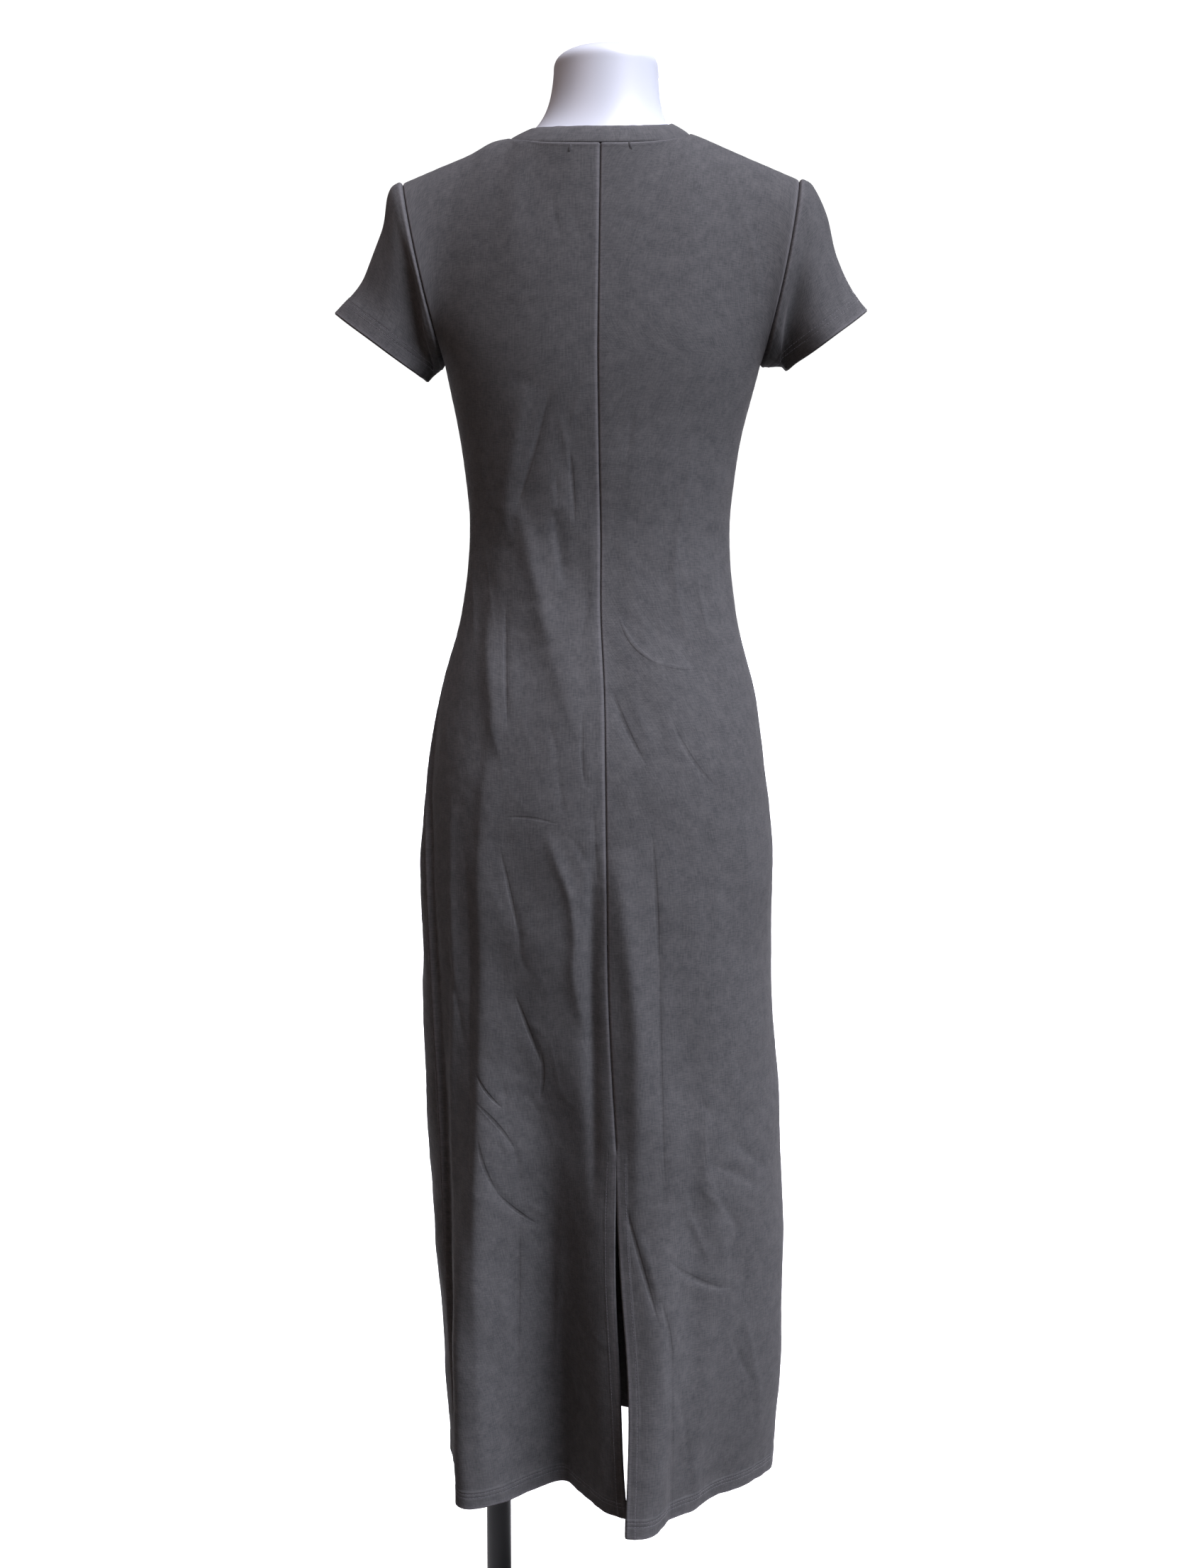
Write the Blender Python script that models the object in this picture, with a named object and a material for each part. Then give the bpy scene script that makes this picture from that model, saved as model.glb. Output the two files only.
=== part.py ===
"""A T-shirt maxi dress on a limbless dress form.

Metres, +Z up.  The wearer's left is +X, the front of the dress faces -Y, and the origin is the
centre of the base plate's underside, on the floor.  Every panel is a wall of knit cloth between
an outer surface, worked out from the tables below, and the same surface moved in by the wall.
"""
import bpy
import bmesh
import numpy as np
from math import cos, pi, radians, sin

# ------------------------------------------------------------------ driving dimensions
WALL = 0.0015             # the knit cloth
BAND_WALL = 0.0018        # the neckband is the same cloth, folded double
SEAM_GAP = 0.0003         # between pieces that are sewn together
EDGE_BEVEL = 0.0005       # the inner side of every edge is cut back by this much
HEM_Z = 0.238
VENT_Z = 0.600            # top of the vent in the centre-back seam
UNDERARM_Z = 1.347

# The body of the dress, hem to chest: half its width, where its middle lies in X, how far it
# reaches behind and in front of the neck's centre line, how far the centre-back seam and the side
# seams have turned round the body (degrees), how full the outline is (2 is an ellipse, less is
# flatter, more is squarer) and how far the dress form lies inside the cloth.
SECTION_COLUMNS = ("z", "half", "shift", "back", "front", "turn_back", "turn_left",
                   "turn_right", "full_back", "full_front", "inset")
SECTIONS = np.array([
    [0.238, 0.1645, -0.0078, 0.128, 0.120, -7.5, -17.0, -12.0, 2.10, 2.10, 0.030],
    [0.360, 0.1700, -0.0080, 0.127, 0.118, -5.6, -16.5, -11.0, 2.10, 2.10, 0.030],
    [0.480, 0.1745, -0.0040, 0.126, 0.116, -3.4, -21.0, -10.0, 2.10, 2.10, 0.030],
    [0.600, 0.1763, 0.0018, 0.126, 0.115, -2.9, -25.0, -9.0, 2.10, 2.10, 0.028],
    [0.740, 0.174, 0.009, 0.127, 0.114, -2.6, -24.0, -8.0, 2.15, 2.15, 0.022],
    [0.880, 0.1735, 0.010, 0.129, 0.115, -2.2, -19.0, -6.0, 2.15, 2.15, 0.007],
    [0.960, 0.166, 0.010, 0.124, 0.114, -2.0, -10.0, -4.0, 2.15, 2.15, 0.006],
    [1.040, 0.152, 0.009, 0.108, 0.109, -1.5, -4.0, -2.0, 2.15, 2.15, 0.009],
    [1.110, 0.134, 0.008, 0.090, 0.102, -0.3, -2.0, -1.0, 2.15, 2.15, 0.012],
    [1.180, 0.1265, 0.007, 0.083, 0.100, 0.0, -1.0, 0.0, 2.15, 2.15, 0.012],
    [1.260, 0.133, 0.007, 0.087, 0.112, 0.5, 0.0, 0.0, 2.15, 2.10, 0.007],
    [1.347, 0.152, 0.0045, 0.093, 0.123, 1.5, 0.0, 0.0, 2.20, 2.10, 0.004],
    [1.430, 0.166, 0.0045, 0.094, 0.120, 1.5, 0.0, 0.0, 2.20, 2.10, 0.003],
])

# Below the vent's top the two flaps part: how far each hem corner stands out from the section
# above, how much its outline flattens, and how far its edge stands off the seam line at most.
FLAP_COLUMNS = ("kick", "flatten", "opening", "opening_at_hem")
FLAPS = {
    1: (-0.010, 0.00, 0.0085, 0.0125),
    -1: (0.031, 0.88, -0.0030, 0.0125),
}

# Soft folds.  "at" is the share of the way from the centre line (0) to a side seam (1 left,
# -1 right), at the fold's top and at the hem; width is in the same shares; depth is outwards.
FOLD_COLUMNS = ("face", "at_top", "at_hem", "z_top", "z_full", "width", "depth")
FOLDS = [
    ("back", 0.28, 0.34, 0.86, 0.26, 0.22, -0.062),
    ("back", 0.60, 0.71, 0.80, 0.28, 0.15, 0.036),
    ("back", 1.00, 0.98, 0.60, 0.28, 0.13, -0.005),
    ("back", -0.14, -0.11, 0.80, 0.30, 0.08, 0.008),
    ("back", -0.26, -0.23, 0.90, 0.34, 0.06, -0.005),
    ("back", -0.46, -0.38, 0.66, 0.30, 0.13, -0.008),
    ("back", -0.70, -0.66, 0.60, 0.28, 0.12, 0.005),
    ("front", 0.66, 0.58, 0.78, 0.30, 0.17, 0.014),
    ("front", 0.30, 0.24, 0.84, 0.34, 0.15, -0.016),
    ("front", -0.02, -0.06, 0.74, 0.32, 0.16, 0.012),
    ("front", -0.38, -0.40, 0.88, 0.30, 0.14, -0.015),
    ("front", -0.74, -0.70, 0.70, 0.34, 0.16, 0.012),
]

# Neckline, shoulders and armholes.
NECK_SHARE = 6 / 14       # share of each quarter's top edge that is neckline; the rest is shoulder
NECK_SHIFT = 0.0075       # the neckline's middle, in X
NECK_Y = 0.010            # its widest line, in Y
NECK_HALF = 0.0854
NECK_REACH = {"back": 0.065, "front": 0.093}
NECK_Z = {"back": 1.537, "front": 1.470}
NECK_SIDE_Z = {1: 1.5555, -1: 1.5600}
NECK_FALL = {"back": 1.0, "front": 2.3}    # above 1 the edge stays high at first, then drops
NECK_LEAN = {"back": 2.0, "front": 1.5}    # how the cloth curves in towards the neckline
NECK_CORNER = {"back": 2, "front": 5}      # how near the shoulder seam its own roundness begins
TIP = {1: (0.1955, 1.5170), -1: (-0.1830, 1.5200)}      # shoulder tips, X and Z
TIP_Y = 0.0
SHOULDER_RISE = {1: 0.003, -1: 0.0}        # the seam allowance lifts the left shoulder's line
SHOULDER_FULL = 2.4       # roundness of the shoulder, from the seam down the back or the chest
ARMHOLE_REACH = {"back": 0.047, "front": 0.044}
ARMHOLE_CUT = {"back": -0.002, "front": 0.010}          # how far it is scooped towards the neck

# Sleeves: the top and underarm points of each hem, in X and Z, and its half depth in Y.
SLEEVE_TOP = {1: (0.2625, 1.3975), -1: (-0.2505, 1.4005)}
SLEEVE_UNDER = {1: (0.1745, 1.3330), -1: (-0.1740, 1.3440)}
SLEEVE_HALF_DEPTH = 0.040
SLEEVE_Y = -0.004
SLEEVE_TILT = np.array([-0.10, 1.0, -0.15])             # the hem's depth, lower behind
SLEEVE_HEAD = 0.055       # pull of the sleeve's surface where it leaves the armhole
SLEEVE_FALL = 0.120       # and where it reaches its hem
SLEEVE_FLARE = np.array([0.74, 0.0, -0.67])             # the way that it reaches its hem
SLEEVE_GAP_MORE = 1.2     # the seam's gap grows by this share of itself towards the underarm

# Neckband: its upper edge, as an oval like the neckline.
BAND_SHIFT = 0.0055
BAND_Y = 0.004
BAND_HALF = 0.0665
BAND_REACH = {"back": 0.0585, "front": 0.080}
BAND_Z = {"back": 1.5545, "front": 1.4880}
BAND_SIDE_Z = {1: 1.5675, -1: 1.5720}
BAND_BOW = 0.0012

# Dress form: its flat bottom, the clearance under the shoulders and the neck's rings.
FORM_Z = 0.800
FORM_CLEARANCE = 0.0006   # between the cloth's inner face and the shoulders that carry it
NECK_CLEARANCE = 0.0034   # added to it beside the neckline, and less along the shoulder
BAND_CLEARANCE = 0.0015   # between the neckband and the neck
ARM_CAP_BULGE = 0.014
NECK_RING_COLUMNS = ("z", "half_x", "half_y", "y")
NECK_RINGS = np.array([
    [1.5840, 0.0545, 0.0550, 0.002],
    [1.5980, 0.0505, 0.0520, 0.000],
    [1.6150, 0.0495, 0.0505, -0.002],
    [1.6245, 0.0472, 0.0482, -0.002],
    [1.6300, 0.0405, 0.0415, -0.002],
    [1.6325, 0.0200, 0.0205, -0.002],
])
NECK_TOP = 1.6330
NECK_MIDDLE = 0.001

# Stand: a round steel plate with an upright near the form's left side.
BASE_RADIUS = 0.180
BASE_HEIGHT = 0.008
POLE_X = 0.111
POLE_RADIUS = 0.0125
SOCKET_RADIUS = 0.021
SOCKET_HEIGHT = 0.034
FLANGE_RADIUS = 0.034
FLANGE_HEIGHT = 0.007
FIT = 0.0003              # running gap between the stand's parts

# How finely the surfaces are divided.
QUARTER = 14              # columns from a centre line to a side seam
SKIRT_ROWS = 20
YOKE_ROWS = 11
SLEEVE_ROWS = 6
BAND_ROWS = 3
ROUND = 40                # sides of the stand's round parts


# ------------------------------------------------------------------ curves and surfaces
def smooth(at, knots, values):
    """Cubic through the table's rows; the slope at a row comes from the rows on both sides."""
    at = np.asarray(at, float)
    slope = np.gradient(values, knots)
    i = np.clip(np.searchsorted(knots, at) - 1, 0, len(knots) - 2)
    step = knots[i + 1] - knots[i]
    u = np.clip((at - knots[i]) / step, 0.0, 1.0)
    return ((1 + 2 * u) * (1 - u) ** 2 * values[i] + u * (1 - u) ** 2 * step * slope[i]
            + u * u * (3 - 2 * u) * values[i + 1] - u * u * (1 - u) * step * slope[i + 1])


def section(name, z):
    """One column of SECTIONS at height z."""
    return smooth(z, SECTIONS[:, 0], SECTIONS[:, SECTION_COLUMNS.index(name)])


def ease(u):
    """0 to 1 with a level start and end."""
    u = np.clip(u, 0.0, 1.0)
    return u * u * (3 - 2 * u)


def power(base, exponent):
    """Signed power, which keeps an outline's four quarters alike."""
    return np.sign(base) * np.abs(base) ** exponent


def fold_depth(face, at, z):
    """Outward reach of the folds: bells across the cloth that grow from z_top down to z_full."""
    reach = np.zeros(np.broadcast(at, z).shape)
    for of_face, at_top, at_hem, z_top, z_full, width, depth in FOLDS:
        if of_face == face:
            centre = at_top + (at_hem - at_top) * (z_top - z) / (z_top - HEM_Z)
            grown = ease((z_top - z) / (z_top - z_full))
            reach = reach + depth * grown * np.exp(-((at - centre) / width) ** 2)
    return reach


def skirt(face, side, share, z, folded=True):
    """Outer surface below the underarm: a superellipse at each height, seams turned, then folded.

    share is 0 at the centre line and 1 at the side seam; side is 1 for left and -1 for right.
    """
    share, z = np.broadcast_arrays(np.asarray(share, float), np.asarray(z, float))
    kick, flatten, opening, opening_at_hem = FLAPS[side]
    parted = (VENT_Z - z) / (VENT_Z - HEM_Z)
    loose = ease(parted) * np.clip(parted, 0, 1)
    turn_side = np.radians(section("turn_left" if side > 0 else "turn_right", z))
    seam = pi / 2 * side + turn_side
    if face == "back":
        edge = opening_at_hem * loose + opening * np.sin(pi * np.clip(parted, 0, 1)) ** 0.8
        centre = np.radians(section("turn_back", z)) + side * edge / section("half", z)
    else:
        centre = pi * side + np.radians(section("turn_left", z) + section("turn_right", z)) / 2
    angle = centre + (seam - centre) * share
    back = section("back", z) + kick * loose
    full_back = section("full_back", z) - flatten * loose
    s, c = np.sin(angle), np.cos(angle)
    deep = np.where(c >= 0, back, section("front", z))
    half = section("half", z)
    bend = 2 / np.where(c >= 0, full_back, section("full_front", z))
    x, y = half * power(s, bend), deep * power(c, bend)
    nx, ny = power(s, 2 - bend) / half, power(c, 2 - bend) / deep
    length = np.hypot(nx, ny)
    out = fold_depth(face, share * side, z) if folded else 0.0
    return np.stack([section("shift", z) + x + out * nx / length, y + out * ny / length, z], -1)


def oval(face, side, turn, shift, middle, half, reach, z_centre, z_side):
    """A neck opening's edge: turn is 0 at the centre line and 90 degrees over the shoulder."""
    sign = 1 if face == "back" else -1
    fall = np.cos(turn)
    return np.stack([shift + side * half * np.sin(turn), middle + sign * reach * fall,
                     z_side + (z_centre - z_side) * np.abs(fall) ** NECK_FALL[face]], -1)


def neckline(face, side, turn):
    """The seam between the panels and the neckband."""
    return oval(face, side, turn, NECK_SHIFT, NECK_Y, NECK_HALF, NECK_REACH[face],
                NECK_Z[face], NECK_SIDE_Z[side])


def top_edge(face, side, share):
    """Neckline up to NECK_SHARE, then the shoulder seam out to its tip."""
    neck = neckline(face, side, pi / 2 * np.clip(share / NECK_SHARE, 0, 1))
    along = np.clip((share - NECK_SHARE) / (1 - NECK_SHARE), 0, 1)[..., None]
    tip_x, tip_z = TIP[side]
    seam = neck + along * (np.array([tip_x, TIP_Y, tip_z]) - neck)
    seam[..., 2] += SHOULDER_RISE[side] * np.exp(-((along[..., 0] - 0.16) / 0.13) ** 2) * ease(
        along[..., 0] / 0.1)
    return seam


def yoke(face, side, share, climb):
    """Outer surface from the underarm (climb 0) to the neckline and shoulder seam (climb 1).

    Each column rises as a superellipse from the chest's outline to the top edge; the armhole's
    curve is added at the side and fades out towards the centre line.
    """
    share, climb = np.broadcast_arrays(np.asarray(share, float), np.asarray(climb, float))
    sign = 1 if face == "back" else -1
    rise = np.sin(pi / 2 * climb) ** (2 / SHOULDER_FULL)
    round_in = np.cos(pi / 2 * np.clip(climb, 0, 1)) ** (2 / SHOULDER_FULL)
    lean_in = 1 - rise ** NECK_LEAN[face]
    shoulder = ease(share / NECK_SHARE) ** NECK_CORNER[face]
    keep = lean_in + (round_in - lean_in) * shoulder
    low = skirt(face, side, share, UNDERARM_Z, folded=False)
    top = top_edge(face, side, share)
    near_edge = share ** 4
    scoop = 4 * rise * (1 - rise)
    x = low[..., 0] + (top[..., 0] - low[..., 0]) * rise
    x = x - side * near_edge * ARMHOLE_CUT[face] * scoop
    y = top[..., 1] + (low[..., 1] - top[..., 1]) * keep
    y = y + sign * near_edge * ARMHOLE_REACH[face] * np.sqrt(scoop) * (1.12 - 0.24 * rise)
    z = UNDERARM_Z + (top[..., 2] - UNDERARM_Z) * rise
    return np.stack([x, y, z], -1)


def quarter(face, side, share, level, folded=True):
    """A quarter of the dress: level 0 to 1 is hem to underarm, 1 to 2 is underarm to top edge."""
    share, level = np.broadcast_arrays(np.asarray(share, float), np.asarray(level, float))
    below = skirt(face, side, share, HEM_Z + (UNDERARM_Z - HEM_Z) * np.clip(level, 0, 1), folded)
    above = yoke(face, side, share, np.clip(level - 1, 0, 1))
    return np.where((level > 1)[..., None], above, below)


def unit(vectors):
    return vectors / np.linalg.norm(vectors, axis=-1, keepdims=True)


def normals(surface, u, v, u_range, v_range, u_step=1e-4, v_step=1e-4):
    """Unit normals of surface(u, v) from small steps that stay inside its range."""
    u0, u1 = np.clip(u - u_step, *u_range), np.clip(u + u_step, *u_range)
    v0, v1 = np.clip(v - v_step, *v_range), np.clip(v + v_step, *v_range)
    return unit(np.cross(surface(u1, v) - surface(u0, v), surface(u, v1) - surface(u, v0)))


# ------------------------------------------------------------------ meshes
def material(name, colour, roughness, metallic=0.0):
    made = bpy.data.materials.new(name)
    made.use_nodes = True
    shader = made.node_tree.nodes["Principled BSDF"]
    shader.inputs["Base Color"].default_value = (*colour, 1.0)
    shader.inputs["Roughness"].default_value = roughness
    shader.inputs["Metallic"].default_value = metallic
    return made


def add_object(name, verts, faces, finish):
    """A closed mesh as an object, its faces turned outwards."""
    mesh = bpy.data.meshes.new(name)
    mesh.from_pydata([tuple(v) for v in verts], [], faces)
    work = bmesh.new()
    work.from_mesh(mesh)
    bmesh.ops.recalc_face_normals(work, faces=work.faces)
    work.to_mesh(mesh)
    work.free()
    mesh.shade_smooth()
    mesh.set_sharp_from_angle(angle=radians(50))
    mesh.materials.append(material(name + "_finish", *finish))
    placed = bpy.data.objects.new(name, mesh)
    bpy.context.scene.collection.objects.link(placed)
    return placed


def inward(points, bottom, top, sides):
    """Unit steps that cut a grid's chosen edges back along the surface."""
    step = np.zeros_like(points)
    if bottom:
        step[0] += unit(points[1] - points[0])
    if top:
        step[-1] += unit(points[-2] - points[-1])
    if sides:
        step[:, 0] += unit(points[:, 1] - points[:, 0])
        step[:, -1] += unit(points[:, -2] - points[:, -1])
    return step


def triangles(a, b, c, d, mirrored):
    """Two triangles for each four-cornered cell, split from a to c, or from b to d."""
    a, b, c, d, mirrored = (each.ravel() for each in np.broadcast_arrays(a, b, c, d, mirrored))
    first = np.where(mirrored, (a, b, d), (a, b, c)).T
    second = np.where(mirrored, (b, c, d), (a, c, d)).T
    return first.tolist() + second.tolist()


def wall(name, outer, normal, thickness, finish, tube=False, mirrored=0):
    """A cloth wall on a grid of outer points; a tube's columns close on themselves.

    The first columns may be mirrored: their cells are split the other way.
    """
    if not tube:
        outer = outer + inward(outer, False, True, True) * SEAM_GAP / 2
    inner = outer - normal * thickness + inward(outer, True, True, not tube) * EDGE_BEVEL
    rows, cols = outer.shape[:2]
    index = np.arange(rows * cols).reshape(rows, cols)
    if tube:
        index = np.column_stack([index, index[:, 0]])
    under = index + rows * cols

    flip = np.arange(index.shape[1] - 1) < mirrored
    faces = []
    for sheet in (index, under):
        faces += triangles(sheet[:-1, :-1], sheet[:-1, 1:], sheet[1:, 1:], sheet[1:, :-1], flip)
    for row in (0, -1):
        faces += triangles(index[row, :-1], index[row, 1:], under[row, 1:], under[row, :-1], flip)
    if not tube:
        for col in (0, -1):
            faces += triangles(index[:-1, col], index[1:, col], under[1:, col], under[:-1, col],
                               False)
    return add_object(name, np.concatenate([outer, inner]).reshape(-1, 3), faces, finish)


def ring(name, profile, centre, finish):
    """A ring turned from a closed profile of (radius, z) corners."""
    turn = np.arange(ROUND) * 2 * pi / ROUND
    r, z = np.array(profile, float).T
    points = np.stack([centre[0] + np.outer(np.cos(turn), r), centre[1] + np.outer(np.sin(turn), r),
                       centre[2] + np.tile(z, (ROUND, 1))], -1)
    count = len(profile)
    faces = []
    for i in range(ROUND):
        for j in range(count):
            a, b = i * count, (i + 1) % ROUND * count
            k = (j + 1) % count
            faces.append((a + j, b + j, b + k, a + k))
    return add_object(name, points.reshape(-1, 3), faces, finish)


def disc(name, profile, centre, finish):
    """A solid round piece: (radius, z) corners from its bottom edge to its top edge."""
    turn = np.arange(ROUND) * 2 * pi / ROUND
    r, z = np.array(profile, float).T
    points = np.stack([centre[0] + np.outer(r, np.cos(turn)), centre[1] + np.outer(r, np.sin(turn)),
                       centre[2] + np.repeat(z[:, None], ROUND, 1)], -1)
    faces = []
    for j in range(len(profile) - 1):
        for i in range(ROUND):
            k = (i + 1) % ROUND
            faces.append((j * ROUND + i, j * ROUND + k, (j + 1) * ROUND + k, (j + 1) * ROUND + i))
    faces.append(tuple(range(ROUND))[::-1])
    faces.append(tuple(range((len(profile) - 1) * ROUND, len(profile) * ROUND)))
    return add_object(name, points.reshape(-1, 3), faces, finish)


# ------------------------------------------------------------------ the dress
JERSEY = ((0.075, 0.073, 0.079), 0.85)
WHITE_FORM = ((0.80, 0.80, 0.82), 0.45)
BLACK_STAND = ((0.012, 0.012, 0.013), 0.45, 0.0)

YOKE_LEVELS = 1 + (np.arange(1, YOKE_ROWS + 1) / YOKE_ROWS) ** 1.3      # closer at the underarm
LEVELS = np.concatenate([np.linspace(0, 1, SKIRT_ROWS + 1), YOKE_LEVELS])
SHARES = np.arange(QUARTER + 1) / QUARTER


def quarter_grid(face, side, shares, levels, folded=True):
    """Points and outward normals of one quarter, a row for each level."""
    share, level = np.meshgrid(shares, levels)

    def surface(u, v):
        return quarter(face, side, u, v, folded)

    points = surface(share, level)
    normal = normals(surface, share, level, (0, 1), (0, 2), u_step=0.01, v_step=0.02)
    turned_out = 1 if (face == "back") == (side > 0) else -1
    return points, normal * -turned_out


def make_back(side, name):
    points, normal = quarter_grid("back", side, SHARES, LEVELS)
    return wall(name, points, normal, WALL, JERSEY)


def make_front():
    """Both front quarters in one panel, from the right side seam to the left."""
    left, left_normal = quarter_grid("front", 1, SHARES, LEVELS)
    right, right_normal = quarter_grid("front", -1, SHARES[:0:-1], LEVELS)
    points = np.concatenate([right, left], axis=1)
    normal = np.concatenate([right_normal, left_normal], axis=1)
    return wall("front", points, normal, WALL, JERSEY, mirrored=QUARTER)


def armhole(side, turn):
    """The armhole: turn 0 at the shoulder tip, 180 at the underarm, the back half first."""
    climb = np.abs(1 - turn / pi)
    loops = {face: yoke(face, side, np.ones_like(turn), climb) for face in ("back", "front")}
    return np.where((turn <= pi)[..., None], loops["back"], loops["front"])


def sleeve(side, turn, along, gap=0.0):
    """From the armhole (along 0) to the sleeve hem (along 1): a cubic with set directions."""
    turn, along = np.broadcast_arrays(turn, along)
    (top_x, top_z), (under_x, under_z) = SLEEVE_TOP[side], SLEEVE_UNDER[side]
    middle = np.array([(top_x + under_x) / 2, SLEEVE_Y, (top_z + under_z) / 2])
    up = np.array([top_x - under_x, 0.0, top_z - under_z]) / 2
    apart = gap * (1 + SLEEVE_GAP_MORE * (1 - np.cos(turn)) / 2)
    start = armhole(side, turn) + apart[..., None] * [side, 0.0, 0.0]
    end = (middle + up * np.cos(turn)[..., None]
           + unit(SLEEVE_TILT * [side, 1, 1]) * SLEEVE_HALF_DEPTH * np.sin(turn)[..., None])
    fall = SLEEVE_FLARE * [side, 1, 1]
    upper = (1 + np.cos(turn)[..., None]) / 2
    leave = unit(np.array([side * 1.0, 0.0, -0.75]) + upper * np.array([0.0, 0.0, 0.95]))
    chord = np.linalg.norm(end - start, axis=-1, keepdims=True)
    reach = np.minimum(chord * 0.9, SLEEVE_HEAD)
    arrive = np.minimum(chord * 1.1, SLEEVE_FALL)
    u = along[..., None]
    return ((1 + 2 * u) * (1 - u) ** 2 * start + u * (1 - u) ** 2 * reach * leave
            + u * u * (3 - 2 * u) * end - u * u * (1 - u) * arrive * fall)


def make_sleeve(side, name):
    climb = np.concatenate([YOKE_LEVELS[::-1] - 1, [0.0], -(YOKE_LEVELS[:-1] - 1)])
    turn, along = np.meshgrid(pi * (1 - climb), np.linspace(0, 1, SLEEVE_ROWS + 1))

    def surface(u, v):
        return sleeve(side, u % (2 * pi), v, SEAM_GAP)

    points = surface(turn, along)
    normal = normals(surface, turn, along, (-9, 9), (0, 1)) * side
    return wall(name, points[::-1], normal[::-1], WALL, JERSEY, tube=True)


def round_neck(turn):
    """Face, side and quarter turn for an angle that runs round the neck from the centre back."""
    turn = turn % (2 * pi)
    side = np.where(turn <= pi, 1, -1)
    from_back = np.where(turn <= pi, turn, 2 * pi - turn)
    return side, from_back


def neckband(turn, up):
    """Between the neckline and the band's upper edge, with a slight outward bow."""
    side, from_back = round_neck(turn)
    low, high = np.zeros(turn.shape + (3,)), np.zeros(turn.shape + (3,))
    for one_side in (1, -1):
        for face in ("back", "front"):
            q = from_back if face == "back" else pi - from_back
            here = ((side == one_side) & (q <= pi / 2 + 1e-9))[..., None]
            q = np.clip(q, 0, pi / 2)
            low = np.where(here, neckline(face, one_side, q), low)
            edge = oval(face, one_side, q, BAND_SHIFT, BAND_Y, BAND_HALF, BAND_REACH[face],
                        BAND_Z[face], BAND_SIDE_Z[one_side])
            high = np.where(here, edge, high)
    out = unit((low - [NECK_SHIFT, NECK_Y, 0.0]) * [1.0, 1.0, 0.0])
    bow = BAND_BOW * 4 * up * (1 - up)
    return low + (high - low) * up[..., None] + out * bow[..., None]


def band_grid(up):
    turn, up = np.meshgrid(np.arange(4 * round(QUARTER * NECK_SHARE)) * pi / 2
                           / round(QUARTER * NECK_SHARE), up)
    return neckband(turn, up), -normals(neckband, turn, up, (-9, 9), (0, 1))


def make_neckband():
    points, normal = band_grid(np.linspace(0, 1, BAND_ROWS + 1))
    points[0] += unit(points[1] - points[0]) * SEAM_GAP
    return wall("neckband", points, normal, BAND_WALL, JERSEY, tube=True)


# ------------------------------------------------------------------ the dress form
def form_quarter(face, side, shares, levels):
    """The form under one quarter of the dress: the cloth's surface, moved in by the inset."""
    points, normal = quarter_grid(face, side, shares, levels, folded=False)
    z = HEM_Z + (UNDERARM_Z - HEM_Z) * np.clip(levels, 0, 1)
    under_shoulder = WALL + FORM_CLEARANCE
    at_arm = section("inset", UNDERARM_Z)
    inset = np.where(levels <= 1, section("inset", z),
                     at_arm + (under_shoulder - at_arm) * ease((levels - 1) * 1.4))
    at_neck = NECK_CLEARANCE * (1 - ease(2 * (shares - NECK_SHARE) / NECK_SHARE)) * ease(
        levels - 1)[:, None]
    moved = points - normal * (inset[:, None] + at_neck)[..., None]
    moved[0, :, 2] = FORM_Z
    return moved


def clear_of_band(grid, face, side):
    """Move the form's neckline row in from the foot of the neckband as well."""
    neck = SHARES <= NECK_SHARE + 1e-9
    q = pi / 2 * SHARES[neck] / NECK_SHARE
    from_back = q if face == "back" else pi - q
    turn = from_back if side > 0 else 2 * pi - from_back
    out = -normals(neckband, turn, np.zeros_like(turn), (-9, 9), (0, 1))
    grid[-1, neck] -= out * (BAND_WALL + BAND_CLEARANCE)


def ring_of_quarters(quarters):
    """Four quarter rows in one ring: left back, left front, right front, right back."""
    back_left, front_left, front_right, back_right = quarters
    return np.concatenate([back_left, front_left[-2::-1], front_right[1:], back_right[-2:0:-1]])


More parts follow.
